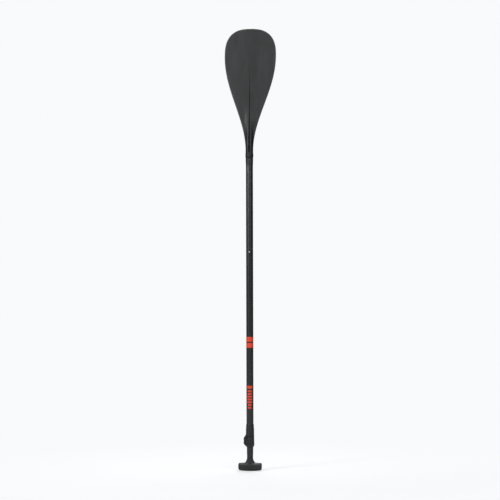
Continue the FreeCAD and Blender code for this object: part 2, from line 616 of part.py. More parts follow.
add_outline(web, [
    (f"-{BOLT_OUT} + 3", f"-{PIVOT_OUT} + 3"),
    (f"-{BOLT_OUT} - 1", f"-{PIVOT_OUT} - Sizes.cam_radius + 1"),
    (f"-{BOLT_OUT} * 0.45", f"-{arm_out} * 0.96"),
    (f"-{BOLT_OUT} * 0.45", f"-{arm_in} * 0.96"),
    (f"-{BOLT_OUT} * 0.62", f"-{arm_in} * 0.84"),
])
feature(clamp_lever, "Pad", "web", web, Length="Sizes.lever_height")
fork = new_sketch(clamp_lever, "XY_Plane", "fork_box", lift=f"{LEVER_MIDDLE} - Sizes.fork_gap / 2")
add_outline(fork, box_corners(
    f"-{BOLT_OUT} - Sizes.cam_radius - 4", f"-{BOLT_OUT} + Sizes.bolt_diameter / 2 + 1.2",
    f"-{PIVOT_OUT} - Sizes.cam_radius - 4", f"-{PIVOT_OUT} + Sizes.cam_radius + 4"))
feature(clamp_lever, "Pocket", "fork", fork, reverse=True, Length="Sizes.fork_gap")
pivot = new_sketch(clamp_lever, "XY_Plane", "pivot_circle", lift=f"{arm_foot} - 1")
add_circle(pivot, f"-{BOLT_OUT}", f"-{PIVOT_OUT}",
           "Sizes.barrel_diameter / 2 + Sizes.slide_gap")
feature(clamp_lever, "Pocket", "pivot", pivot, reverse=True, Length="Sizes.lever_height + 2")

# ---------------------------------------------------------------- telescoping tube and T-grip
handle_tube = turned("handle_tube", tube_corners(
    HANDLE_BORE, HANDLE, "Sizes.grip_height", HANDLE_TOP))
keyway = new_sketch(handle_tube, "XY_Plane", "keyway_box", lift="Sizes.grip_height - 1")
add_outline(keyway, box_corners(
    "-Sizes.key_width / 2", "Sizes.key_width / 2",
    f"{HANDLE} - Sizes.key_depth", f"{HANDLE} + 1"))
feature(handle_tube, "Pocket", "keyway", keyway, reverse=True, Length="Sizes.handle_length + 2")

handle_bush = turned("handle_bush", [
    ("0", f"{HANDLE_TOP} - 20"),
    (f"{HANDLE_PLUG} - 1", f"{HANDLE_TOP} - 20"),
    (HANDLE_PLUG, f"{HANDLE_TOP} - 19"),
    (HANDLE_PLUG, HANDLE_TOP),
    (HANDLE, HANDLE_TOP),
    (HANDLE, f"{HANDLE_TOP} + Sizes.bush_height - 2"),
    (f"{HANDLE} - 2", f"{HANDLE_TOP} + Sizes.bush_height"),
    ("0", f"{HANDLE_TOP} + Sizes.bush_height"),
])

foam_top = f"({HANDLE_TOP} - 22)"
handle_plug = turned("handle_plug", [
    ("0", f"{foam_top} - Sizes.plug_length"),
    (f"{HANDLE_PLUG} - 1", f"{foam_top} - Sizes.plug_length"),
    (HANDLE_PLUG, f"{foam_top} - Sizes.plug_length + 1"),
    (HANDLE_PLUG, f"{foam_top} - 1"),
    (f"{HANDLE_PLUG} - 1", foam_top),
    ("0", foam_top),
])


def bar_section(across):
    """Half depth, half height and middle height of the cross bar at one place along X."""
    share = abs(across) / (size("bar_width") / 2)
    tall = size("bar_tall") - (size("bar_tall") - size("bar_end_tall")) * share ** 2
    deep = size("bar_depth") * (1 - 0.1 * share ** 2)
    drop = (size("bar_tall") - tall) * 0.3
    return deep / 2, tall / 2, size("bar_tall") - drop - tall / 2


def bar_ring(across, shrink=0.0):
    """The bar's rounded section as a closed wire, drawn in by shrink."""
    deep, tall, middle = bar_section(across)
    corners = []
    for k in range(16):
        turn = 2 * math.pi * k / 16
        side, up = math.cos(turn), math.sin(turn)
        swell = (abs(side) ** 2.6 + abs(up) ** 2.6) ** (-1 / 2.6)
        corners.append(V(across, side * swell * (deep - shrink), middle + up * swell * (tall - shrink)))
    ring = Part.BSplineCurve()
    ring.interpolate(corners, PeriodicFlag=True)
    return Part.Wire([ring.toShape()])


def oval_ring(wide, deep, height):
    """A level oval around the shaft's axis as a closed wire."""
    turns = [2 * math.pi * k / 16 for k in range(16)]
    ring = Part.BSplineCurve()
    ring.interpolate([V(wide * math.cos(t), deep * math.sin(t), height) for t in turns],
                     PeriodicFlag=True)
    return Part.Wire([ring.toShape()])


def grip_shape():
    """Cross bar, flare, neck and the plug that goes into the inner tube, as one moulding."""
    cap_face = size("bar_width") / 2 - size("cap_length")
    bar = Part.makeLoft([bar_ring(cap_face * k / 4) for k in range(-4, 5)], True, False)
    top, waist_height = size("grip_height"), size("grip_waist_height")
    waist, neck = size("grip_waist_diameter") / 2, size("grip_neck_diameter") / 2
    flare_foot = size("bar_tall") * 0.86
    rings = []
    for share in (1, 0.66, 0.33, 0):
        radius = waist + (neck - waist) * share
        rings.append(oval_ring(radius, radius, waist_height + (top - waist_height) * share))
    full = 1 - math.sqrt(1 - 0.97 ** 2)
    for share in (0.3, 0.55, 0.75, 0.9, 1):
        grow = (1 - math.sqrt(1 - (0.97 * share) ** 2)) / full
        wide = waist + (size("flare_width") / 2 - waist) * grow
        deep = waist + (size("bar_depth") / 2 - 1.8 - waist) * grow
        rings.append(oval_ring(wide, deep, waist_height + (flare_foot - waist_height) * share))
    stem = Part.makeLoft(rings, True, False)
    bore = (size("tube_diameter") / 2 - size("tube_wall") - size("slide_gap")
            - size("handle_wall") - size("glue_gap"))
    length = size("grip_spigot_length")
    plug = Part.makeCylinder(bore, length - 1, V(0, 0, top - 1))
    nose = Part.makeCone(bore, bore - 1.5, 2, V(0, 0, top + length - 2))
    return bar.fuse([stem, plug.fuse(nose).removeSplitter()]).Solids[0]


grip = doc.addObject("Part::Feature", "grip")
grip.Label = "grip"
grip.Shape = grip_shape()
grip.Placement = FreeCAD.Placement()


def cap_shape(side):
    """A domed end cap of the cross bar."""
    face = size("bar_width") / 2 - size("cap_length")
    end = size("bar_width") / 2
    stations = ((0.02, 0), (0.45, 0.35), (0.75, 1.4), (0.93, 3.2), (1, 5.5))
    rings = [bar_ring(side * (face + (end - face) * out), inset) for out, inset in stations]
    return Part.makeLoft(rings, True, False)


for label, side in (("grip_cap_left", -1), ("grip_cap_right", 1)):
    cap = doc.addObject("Part::Feature", label)
    cap.Label = label
    cap.Shape = cap_shape(side)
    cap.Placement = FreeCAD.Placement()

# ---------------------------------------------------------------- test and write
NODES = [
    "blade", "neck_collar", "blade_tube", "joint_ring", "joint_ferrule", "lock_button",
    "button_spring", "blade_tube_plug", "shaft_tube", "band_lower", "band_upper", "decal_panel",
    "clamp_collar", "lever_barrel", "clamp_bolt", "clamp_nut", "cam_saddle", "clamp_lever",
    "handle_tube", "handle_bush", "handle_plug", "grip", "grip_cap_left", "grip_cap_right",
]
doc.recompute()
for item in doc.Objects:
    if {"Invalid", "Error"} & set(item.State):
        raise RuntimeError(f"{item.Label} failed: {item.State}")
os.makedirs("parts", exist_ok=True)
shapes = {}
for node in NODES:
    shape = doc.getObjectsByLabel(node)[0].Shape
    if shape.isNull() or not shape.isValid() or not shape.Solids:
        raise RuntimeError(f"{node} has no valid shape")
    shapes[node] = shape
for node, shape in shapes.items():
    shape.exportStep(f"parts/{node}.step")
    box = shape.BoundBox
    print(f"{node}: {len(shape.Solids)} solid, {shape.Volume / 1000:.1f} cm3, "
          f"x {box.XMin:.1f} {box.XMax:.1f}, y {box.YMin:.1f} {box.YMax:.1f}, "
          f"z {box.ZMin:.1f} {box.ZMax:.1f}")
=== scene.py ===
"""Looks of the adjustable single blade paddle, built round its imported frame. Metres, Z up."""
import bpy
import bmesh
import math
import numpy as np
from mathutils import Matrix, Vector


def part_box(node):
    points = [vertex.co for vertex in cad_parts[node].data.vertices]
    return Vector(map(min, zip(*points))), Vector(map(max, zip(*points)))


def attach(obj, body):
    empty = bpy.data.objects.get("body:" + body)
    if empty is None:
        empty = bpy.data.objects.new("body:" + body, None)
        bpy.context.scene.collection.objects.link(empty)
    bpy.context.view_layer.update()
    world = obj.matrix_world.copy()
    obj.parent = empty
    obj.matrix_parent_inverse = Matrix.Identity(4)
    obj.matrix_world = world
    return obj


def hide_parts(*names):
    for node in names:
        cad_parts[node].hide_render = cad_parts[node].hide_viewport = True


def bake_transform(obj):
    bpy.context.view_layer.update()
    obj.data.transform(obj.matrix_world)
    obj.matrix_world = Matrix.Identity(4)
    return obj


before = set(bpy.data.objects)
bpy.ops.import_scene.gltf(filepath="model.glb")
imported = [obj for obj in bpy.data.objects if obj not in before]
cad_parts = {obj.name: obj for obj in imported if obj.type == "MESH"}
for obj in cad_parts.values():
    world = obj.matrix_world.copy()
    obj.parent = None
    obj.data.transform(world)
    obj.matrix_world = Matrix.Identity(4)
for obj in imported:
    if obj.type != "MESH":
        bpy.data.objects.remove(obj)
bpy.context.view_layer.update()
MM = 0.001
scene = bpy.context.scene


# ---------------------------------------------------------------- inner tube, its bush and plug
# The telescoping tube is drawn aluminium, anodised dark, with a key groove rolled down its back.
# It slides in the middle tube. A moulded bush steadies its top end and a foam plug under the
# bush keeps water out. A fine length scale is etched on the front.
class Finish:
    """One material. Each method adds a node to it and returns that node's output."""

    def __init__(self, name, colour, roughness, **sockets):
        self.material = bpy.data.materials.new(name)
        self.material.use_nodes = True
        self.nodes = self.material.node_tree.nodes
        self.links = self.material.node_tree.links
        self.shader = self.nodes["Principled BSDF"]
        self.wear(colour, roughness)
        for socket, value in sockets.items():
            self.shader.inputs[socket.replace("_", " ")].default_value = value
        self.place = self.add("TexCoord").outputs["Object"]

    def add(self, kind, inputs=None, **settings):
        node = self.nodes.new("ShaderNode" + kind)
        for setting, value in settings.items():
            setattr(node, setting, value)
        for socket, value in (inputs or {}).items():
            if isinstance(value, bpy.types.NodeSocket):
                self.links.new(value, node.inputs[socket])
            else:
                node.inputs[socket].default_value = value
        return node

    def stretched(self, stretch=(1, 1, 1), turn=(0, 0, 0), shift=(0, 0, 0)):
        node = self.add("Mapping", {
            "Vector": self.place, "Scale": stretch, "Rotation": turn, "Location": shift})
        return node.outputs["Vector"]

    def noise(self, scale, place=None, detail=3.0, uneven=0.5, swirl=0.0):
        node = self.add("TexNoise", {
            "Vector": place or self.place, "Scale": scale, "Detail": detail,
            "Roughness": uneven, "Distortion": swirl})
        return node.outputs["Fac"]

    def cells(self, scale, place=None):
        node = self.add("TexVoronoi", {"Vector": place or self.place, "Scale": scale})
        return node.outputs["Distance"]

    def spread(self, value, low, high, out_low=0.0, out_high=1.0):
        node = self.add("MapRange", {
            "Value": value, "From Min": low, "From Max": high,
            "To Min": out_low, "To Max": out_high})
        return node.outputs["Result"]

    def sum(self, operation, first, second):
        return self.add("Math", {0: first, 1: second}, operation=operation).outputs[0]

    def blend(self, share, first, second):
        node = self.add("Mix", {"Factor": share, 6: self.rgba(first), 7: self.rgba(second)},
                        data_type="RGBA")
        return node.outputs[2]

    def bump(self, height, depth, under=None):
        inputs = {"Height": height, "Distance": depth, "Strength": 1.0}
        if under:
            inputs["Normal"] = under
        return self.add("Bump", inputs).outputs["Normal"]

    def edges(self, patchy=180):
        """How rubbed the outer edges are, unevenly, from 0 to 1."""
        bend = self.add("NewGeometry").outputs["Pointiness"]
        rubbed = self.spread(self.noise(patchy, detail=6), 0.36, 0.62)
        return self.sum("MULTIPLY", self.spread(bend, 0.515, 0.57), rubbed)

    def wear(self, colour=None, roughness=None, normal=None):
        """Sets or links the shader's colour, roughness and normal."""
        given = {"Base Color": self.rgba(colour), "Roughness": roughness, "Normal": normal}
        for socket, value in given.items():
            if isinstance(value, bpy.types.NodeSocket):
                self.links.new(value, self.shader.inputs[socket])
            elif value is not None:
                self.shader.inputs[socket].default_value = value

    @staticmethod
    def rgba(colour):
        return (*colour, 1.0) if isinstance(colour, tuple) else colour


def anodised_scale():
    """Dark anodised tube with die lines and an etched scale: a tick each 10 mm, longer each 50."""
    tick_pitch, long_pitch, tick_height = 0.010, 0.050, 0.0007
    dark, etched = (0.032, 0.033, 0.036), (0.42, 0.43, 0.44)
    finish = Finish("anodised_inner_tube", dark, 0.34, Metallic=0.55)
    die_lines = finish.noise(700, finish.stretched((1, 1, 0.01)), detail=4)
    blotches = finish.noise(35, detail=5)
    place = finish.add("SeparateXYZ", {"Vector": finish.place}).outputs
    marks = []
    for pitch, half in ((tick_pitch, 0.0022), (long_pitch, 0.0045)):
        step = finish.sum("FRACT", finish.sum("DIVIDE", place["Z"], pitch), 0.0)
        line = finish.sum("LESS_THAN", step, tick_height / pitch)
        across = finish.sum("ABSOLUTE", place["X"], 0.0)
        marks.append(finish.sum("MULTIPLY", line, finish.sum("LESS_THAN", across, half)))
    front = finish.sum("LESS_THAN", place["Y"], 0.0)
    marked = finish.sum("MULTIPLY", finish.sum("MAXIMUM", marks[0], marks[1]), front)
    worn = finish.spread(finish.noise(260, detail=6), 0.38, 0.55)
    marked = finish.sum("MULTIPLY", marked, finish.sum("MAXIMUM", worn, 0.35))
    tone = finish.blend(finish.spread(blotches, 0.35, 0.7), dark, (0.045, 0.046, 0.05))
    finish.wear(finish.blend(marked, tone, etched),
                finish.spread(die_lines, 0.3, 0.7, 0.27, 0.43), finish.bump(die_lines, 4e-6))
    return finish.material


def moulded(name, colour, roughness, grain, depth, colour_lift=1.5):
    """Injection moulding: spark-eroded grain with painted shade in its pits, faint flow marks and
    slightly polished patches.
    """
    finish = Finish(name, colour, roughness, IOR=1.48)
    grains = finish.noise(grain, detail=2.5, uneven=0.6)
    pits = finish.cells(grain * 0.55)
    flow = finish.noise(28, finish.stretched((1, 1, 0.35)), detail=4, swirl=0.6)
    handled = finish.noise(60, detail=6, uneven=0.65)
    lifted = tuple(c * colour_lift for c in colour)
    rubbed = finish.edges()
    tone = finish.blend(finish.spread(flow, 0.35, 0.68), colour, lifted)
    # Painted shade: the middle of each pit of the grain is painted darker.
    tone = finish.blend(finish.spread(pits, 0.0, 0.35, 0.35, 0.0), tone,
                        tuple(c * 0.6 for c in colour))
    finish.wear(finish.blend(finish.sum("MULTIPLY", rubbed, 0.7), tone,
                             tuple(c * 5 for c in colour)),
                finish.sum("SUBTRACT", finish.spread(handled, 0.3, 0.7, roughness - 0.1,
                                                     roughness + 0.1),
                           finish.sum("MULTIPLY", rubbed, 0.12)),
                finish.bump(pits, depth * 0.6, under=finish.bump(grains, depth)))
    return finish.material


def closed_cell_foam():
    """Charcoal closed-cell foam: cut cells that catch the light unevenly."""
    finish = Finish("closed_cell_foam", (0.05, 0.05, 0.054), 0.9)
    cells = finish.cells(900)
    tone = finish.blend(finish.spread(cells, 0.1, 0.6), (0.025, 0.025, 0.028), (0.09, 0.09, 0.095))
    finish.wear(tone, finish.spread(finish.noise(120), 0.3, 0.7, 0.82, 0.96),
                finish.bump(cells, 2.5e-4))
    return finish.material


def dress(material, *nodes):
    """Gives CAD nodes that are right as they stand their real finish."""
    for node in nodes:
        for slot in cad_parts[node].material_slots:
            slot.material = material


bush_plastic = moulded("bush_acetal", (0.02, 0.02, 0.021), 0.5, 1500, 3e-5)
foam = closed_cell_foam()
dress(anodised_scale(), "handle_tube")
dress(bush_plastic, "handle_bush", "joint_ferrule", "cam_saddle")
dress(foam, "handle_plug", "blade_tube_plug")

# ---------------------------------------------------------------- grip and its end caps
# The T-grip is one glass-filled nylon moulding: cross bar, flare, neck and a plug glued into the
# inner tube. A domed cap closes each end of the bar. The palm polishes the bar's underside.
grip_colour = (0.007, 0.0072, 0.0076)


def grip_nylon():
    finish = Finish("grip_nylon", grip_colour, 0.55, IOR=1.5)
    grains = finish.noise(1300, detail=2.5, uneven=0.6)
    pits = finish.cells(700)
    flow = finish.noise(24, finish.stretched((0.5, 1, 1)), detail=5, swirl=0.8)
    palm = finish.noise(45, detail=6, uneven=0.65)
    place = finish.add("SeparateXYZ", {"Vector": finish.place}).outputs
    low = finish.spread(place["Z"], 0.004, 0.03, 0.1, 0.0)
    polish = finish.sum("SUBTRACT", finish.spread(palm, 0.3, 0.7, 0.42, 0.62), low)
    parting = finish.sum("ABSOLUTE", place["Y"], 0.0)
    line = finish.spread(parting, 0.0001, 0.00035, 1.0, 0.0)
    tone = finish.blend(finish.spread(flow, 0.34, 0.7), grip_colour, (0.012, 0.0122, 0.0128))
    rubbed = finish.sum("MULTIPLY", finish.edges(120), 0.6)
    tone = finish.blend(rubbed, tone, (0.035, 0.035, 0.036))
    grain = finish.bump(pits, 4e-5, under=finish.bump(grains, 5e-5))
    finish.wear(tone, polish, finish.bump(line, 6e-5, under=grain))
    return finish.material


def copy_of(node, name):
    """A new object with the CAD node's mesh, its loose triangles merged."""
    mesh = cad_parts[node].data.copy()
    mesh.materials.clear()
    body = bmesh.new()
    body.from_mesh(mesh)
    bmesh.ops.remove_doubles(body, verts=body.verts, dist=2e-6)
    plain = bpy.data.meshes.new(name)
    body.to_mesh(plain)
    body.free()
    piece = bpy.data.objects.new(name, plain)
    scene.collection.objects.link(piece)
    return piece


def settle(piece):
    """Applies the piece's modifiers, so its mesh is plain."""
    depsgraph = bpy.context.evaluated_depsgraph_get()
    mesh = bpy.data.meshes.new_from_object(piece.evaluated_get(depsgraph))
    piece.modifiers.clear()
    piece.data = mesh
    mesh.polygons.foreach_set("use_smooth", [True] * len(mesh.polygons))
    return piece


def softened(piece, voxel, passes):
    """Rounds a moulding's edges and creases as its mould does."""
    remesh = piece.modifiers.new("skin", "REMESH")
    remesh.mode = "VOXEL"
    remesh.voxel_size = voxel
    ease = piece.modifiers.new("ease", "SMOOTH")
    ease.factor = 0.5
    ease.iterations = passes
    return settle(piece)


def fit(piece, material, body, slot, *nodes):
    """Finishes a piece: its material, the CAD body it rides on and what it replaces; its slot is not
    used.
    """
    piece.data.materials.clear()
    piece.data.materials.append(material)
    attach(piece, body)
    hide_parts(*nodes)
    return piece


grip_finish = grip_nylon()
for node, name, voxel, passes in (("grip", "t_grip", 0.7 * MM, 7),
                                  ("grip_cap_left", "t_grip_cap_left", 0.35 * MM, 3),
                                  ("grip_cap_right", "t_grip_cap_right", 0.35 * MM, 3)):
    fit(softened(copy_of(node, name), voxel, passes), grip_finish, "handle", "grip_black", node)

# ---------------------------------------------------------------- clamp collar
# The split collar is moulded in glass-filled nylon and pressed on the foot of the middle tube.
# Its two ears are drawn together by the lever, which closes the slotted tube on the inner one.
collar_low, collar_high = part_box("clamp_collar")
lever_low, lever_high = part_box("clamp_lever")
barrel_low, barrel_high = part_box("lever_barrel")
bolt_x = (barrel_low.x + barrel_high.x) / 2
bolt_z = (barrel_low.z + barrel_high.z) / 2
collar_foot, collar_top = collar_low.z, collar_high.z
ear_face, split_half = 8.2 * MM, 1.2 * MM
tube_radius, handle_radius = 14.3 * MM, 13.03 * MM
slit_foot, slit_height, slit_arc = collar_foot + 43.5 * MM, 1.6 * MM, math.radians(236)


def smooth_low(first, second, reach):
    """The lower of two values, rounded over where they meet."""
    share = np.clip(0.5 + 0.5 * (second - first) / reach, 0, 1)
    return second * (1 - share) + first * share - reach * share * (1 - share)


def smooth_high(first, second, reach):
    return -smooth_low(-first, -second, reach)


def closed_grid(rows):
    """Faces of a grid whose columns close on themselves; rows is (rows, columns, 3)."""
    count, around = rows.shape[:2]
    index = np.arange(count * around).reshape(count, around)
    after = np.roll(index, -1, axis=1)
    faces = np.stack([index[:-1], after[:-1], after[1:], index[1:]], axis=-1).reshape(-1, 4)
    return rows.reshape(-1, 3), faces


def new_piece(name, points, faces):
    """An object from points and faces, merged, with its faces turned outwards."""
    mesh = bpy.data.meshes.new(name)
    mesh.from_pydata([tuple(p) for p in points], [], [tuple(f) for f in faces])
    body = bmesh.new()
    body.from_mesh(mesh)
    bmesh.ops.remove_doubles(body, verts=body.verts, dist=1e-6)
    bmesh.ops.dissolve_degenerate(body, dist=1e-7, edges=body.edges)
    bmesh.ops.recalc_face_normals(body, faces=body.faces)
    body.to_mesh(mesh)
    body.free()
    mesh.polygons.foreach_set("use_smooth", [True] * len(mesh.polygons))
    piece = bpy.data.objects.new(name, mesh)
    scene.collection.objects.link(piece)
    return piece


def collar_radius(turn, height):
    """Outside of the collar, ears included, seen from the shaft's axis."""
    up = (height - collar_foot) / MM
    body = np.interp(up, [0, 0.5, 6, 12, 43.5, 73, 92.6, 94],
                     [14.2, 14.9, 17.35, 17.75, 16.9, 16.5, 15.2, 14.6]) * MM
    reach = np.interp(up, [1, 3, 12.5, 38.5, 51, 53], [12, 15.5, 25, 25, 16.6, 13]) * MM
    side = np.abs(np.sin(turn)) + 1e-6
    front = np.maximum(-np.cos(turn), 1e-3)
    ears = smooth_low(reach / front, ear_face / side, 3.2 * MM)
    ears = np.where(np.cos(turn) < 0, ears, 0)
    return smooth_high(body, ears, 2.2 * MM)


def softly(values, passes):
    """Evens out a profile along its rows, as a moulding's rounded corners do."""
    for _ in range(passes):
        inner = (values[:-2] + 2 * values[1:-1] + values[2:]) / 4
        values = np.concatenate([values[:1], inner, values[-1:]])
    return values


around, rows_up = 320, 190
turns = np.linspace(-math.pi, math.pi, around, endpoint=False)
heights = np.linspace(collar_foot, collar_top, rows_up)
turn_grid, height_grid = np.meshgrid(turns, heights)
outside = softly(collar_radius(turn_grid, height_grid), 5)
edge = np.minimum((height_grid - collar_foot), (collar_top - height_grid)) / (0.8 * MM)
outside = outside - 0.45 * MM * (1 - np.sqrt(1 - (1 - np.clip(edge, 0, 1)) ** 2))
inside_heights = [collar_top, collar_foot + 4.001 * MM, collar_foot + 4 * MM, collar_foot]
inside_radii = [tube_radius + 0.06 * MM] * 2 + [handle_radius + 0.32 * MM] * 2
rings = [np.stack([outside * np.cos(turn_grid), outside * np.sin(turn_grid), height_grid], -1)]
for height, radius in zip(inside_heights, inside_radii):
    ring = np.stack([radius * np.cos(turns), radius * np.sin(turns), turns * 0 + height], -1)
    rings.append(ring[None])
rings.append(rings[0][:1])
collar = new_piece("collar", *closed_grid(np.concatenate(rings)))


def prism(outline, low, high):
    """Points and faces of an outline of (x, y) drawn up from low to high."""
    count = len(outline)
    points = [(x, y, low) for x, y in outline] + [(x, y, high) for x, y in outline]
    faces = [tuple(range(count))[::-1], tuple(range(count, 2 * count))]
    faces += [(i, (i + 1) % count, (i + 1) % count + count, i + count) for i in range(count)]
    return points, faces


def disc(centre_x, centre_z, radius, low, high, sides=48):
    """Points and faces of a round bar along Y."""
    ring = [(centre_x + radius * math.cos(2 * math.pi * k / sides),
             centre_z + radius * math.sin(2 * math.pi * k / sides)) for k in range(sides)]
    points, faces = prism(ring, low, high)
    return [(x, z, y) for x, y, z in points], faces


def combine(piece, tool, operation):
    """Joins the tool to the piece or cuts it out, and uses it up."""
    boolean = piece.modifiers.new("combine", "BOOLEAN")
    boolean.operation = operation
    boolean.solver = "EXACT"
    boolean.object = tool
    settle(piece)
    bpy.data.objects.remove(tool)


def cut(piece, *solids):
    """Takes each solid, given as points and faces, out of the piece."""
    for points, faces in solids:
        combine(piece, new_piece("cutter", points, faces), "DIFFERENCE")


def sector(arc, centre, radius, low, high, steps=40):
    """A flat wedge around the shaft."""
    turns = [centre - arc / 2 + arc * k / steps for k in range(steps + 1)]
    inner = 12 * MM
    outline = [(radius * math.cos(t), radius * math.sin(t)) for t in turns]
    outline += [(inner * math.cos(t), inner * math.sin(t)) for t in reversed(turns)]
    return prism(outline, low, high)


split_box = prism([(-40 * MM, -split_half), (-8 * MM, -split_half), (-8 * MM, split_half),
                   (-40 * MM, split_half)], collar_foot - MM, slit_foot + 0.2 * MM)
cut(collar, split_box,
    sector(slit_arc, math.pi, 40 * MM, slit_foot, slit_foot + slit_height),
    disc(bolt_x, bolt_z, 2.65 * MM, -20 * MM, 20 * MM),
    disc(bolt_x, bolt_z, 5.6 * MM, ear_face, 20 * MM))


def crisp(piece, degrees):
    """Keeps the sharp edges of cuts sharp and shades all else smoothly."""
    piece.data.set_sharp_from_angle(angle=math.radians(degrees))
    return piece


clamp_nylon = moulded("clamp_nylon", (0.006, 0.0062, 0.0066), 0.44, 1400, 5e-5)
fit(crisp(collar, 32), clamp_nylon, "shaft", "moulded_black", "clamp_collar")

# ---------------------------------------------------------------- quick-release lever
# The lever wraps the collar's front. Its forked head is an eccentric cam on the pivot barrel and
# bears on the saddle. Ribs near its tip give the thumb a hold. It is one nylon moulding.
lever = copy_of("clamp_lever", "lever_arm")
arm_radius, lever_voxel = 20.5 * MM, 0.32 * MM


def field_tree(name, inputs):
    """A new node tree with named inputs and one geometry output."""
    tree = bpy.data.node_groups.new(name, "GeometryNodeTree")
    kinds = {"Geometry": "NodeSocketGeometry", "Material": "NodeSocketMaterial"}
    for label in ("Geometry", *inputs, "Material"):
        kind = kinds.get(label) or "NodeSocketFloat"
        if label in ("Sides", "Ridges", "Corner steps", "Count", "Rows", "Columns", "Seed"):
            kind = "NodeSocketInt"
        tree.interface.new_socket(label, in_out="INPUT", socket_type=kind)
    tree.interface.new_socket("Geometry", in_out="OUTPUT", socket_type="NodeSocketGeometry")
    return tree


def tree_node(tree, kind, inputs=None, **settings):
    node = tree.nodes.new(kind)
    for setting, value in settings.items():
        setattr(node, setting, value)
    for socket, value in (inputs or {}).items():
        if isinstance(value, bpy.types.NodeSocket):
            tree.links.new(value, node.inputs[socket])
        else:
            node.inputs[socket].default_value = value
    return node


def set_inputs(modifier, tree, **values):
    """Fills a tree's named inputs on a modifier, by each socket's identifier."""
    for socket in tree.interface.items_tree:
        label = socket.name.replace(" ", "_")
        if label in values:
            modifier[socket.identifier] = values[label]


def thumb_rib_tree():
    """Small upright bars set round an arc at even steps."""
    tree = field_tree("thumb_ribs", ("Count", "Step", "First", "Reach", "Middle", "Width",
                                     "Depth", "Height"))
    given = tree_node(tree, "NodeGroupInput").outputs
    size = tree_node(tree, "ShaderNodeCombineXYZ", {
        "X": given["Depth"], "Y": given["Width"], "Z": given["Height"]}).outputs[0]
    bar = tree_node(tree, "GeometryNodeMeshCube", {"Size": size}).outputs[0]
    place = tree_node(tree, "ShaderNodeCombineXYZ", {
        "X": given["Reach"], "Z": given["Middle"]}).outputs[0]
    bar = tree_node(tree, "GeometryNodeTransform", {
        "Geometry": bar, "Translation": place}).outputs[0]
    spots = tree_node(tree, "GeometryNodeMeshLine", {
        "Count": given["Count"], "Offset": (0, 0, 0)}).outputs[0]
    index = tree_node(tree, "GeometryNodeInputIndex").outputs[0]
    turn = tree_node(tree, "ShaderNodeMath", {0: index, 1: given["Step"], 2: given["First"]},
                     operation="MULTIPLY_ADD").outputs[0]
    rotation = tree_node(tree, "ShaderNodeCombineXYZ", {"Z": turn}).outputs[0]
    set_out = tree_node(tree, "GeometryNodeInstanceOnPoints", {
        "Points": spots, "Instance": bar, "Rotation": rotation}).outputs[0]
    real = tree_node(tree, "GeometryNodeRealizeInstances", {"Geometry": set_out}).outputs[0]
    done = tree_node(tree, "GeometryNodeSetMaterial", {
        "Geometry": real, "Material": given["Material"]}).outputs[0]
    tree_node(tree, "NodeGroupOutput", {"Geometry": done})
    return tree


def grown(name, tree, **values):
    """A new piece made wholly by a node tree."""
    piece = bpy.data.objects.new(name, bpy.data.meshes.new(name))
    scene.collection.objects.link(piece)
    growth = piece.modifiers.new("growth", "NODES")
    growth.node_group = tree
    set_inputs(growth, tree, **values)
    return settle(piece)


lever_nylon = moulded("lever_nylon", (0.0065, 0.0067, 0.007), 0.36, 1700, 4e-5)
ribs = grown("ribs", thumb_rib_tree(), Count=5, Step=math.radians(4.6), First=math.radians(-62),
             Reach=arm_radius, Middle=(lever_low.z + lever_high.z) / 2, Width=1.0 * MM,
             Depth=2.6 * MM, Height=lever_high.z - lever_low.z - 6 * MM, Material=lever_nylon)
combine(lever, ribs, "UNION")
softened(lever, lever_voxel, 4)
fit(lever, lever_nylon, "lever", "moulded_black", "clamp_lever")
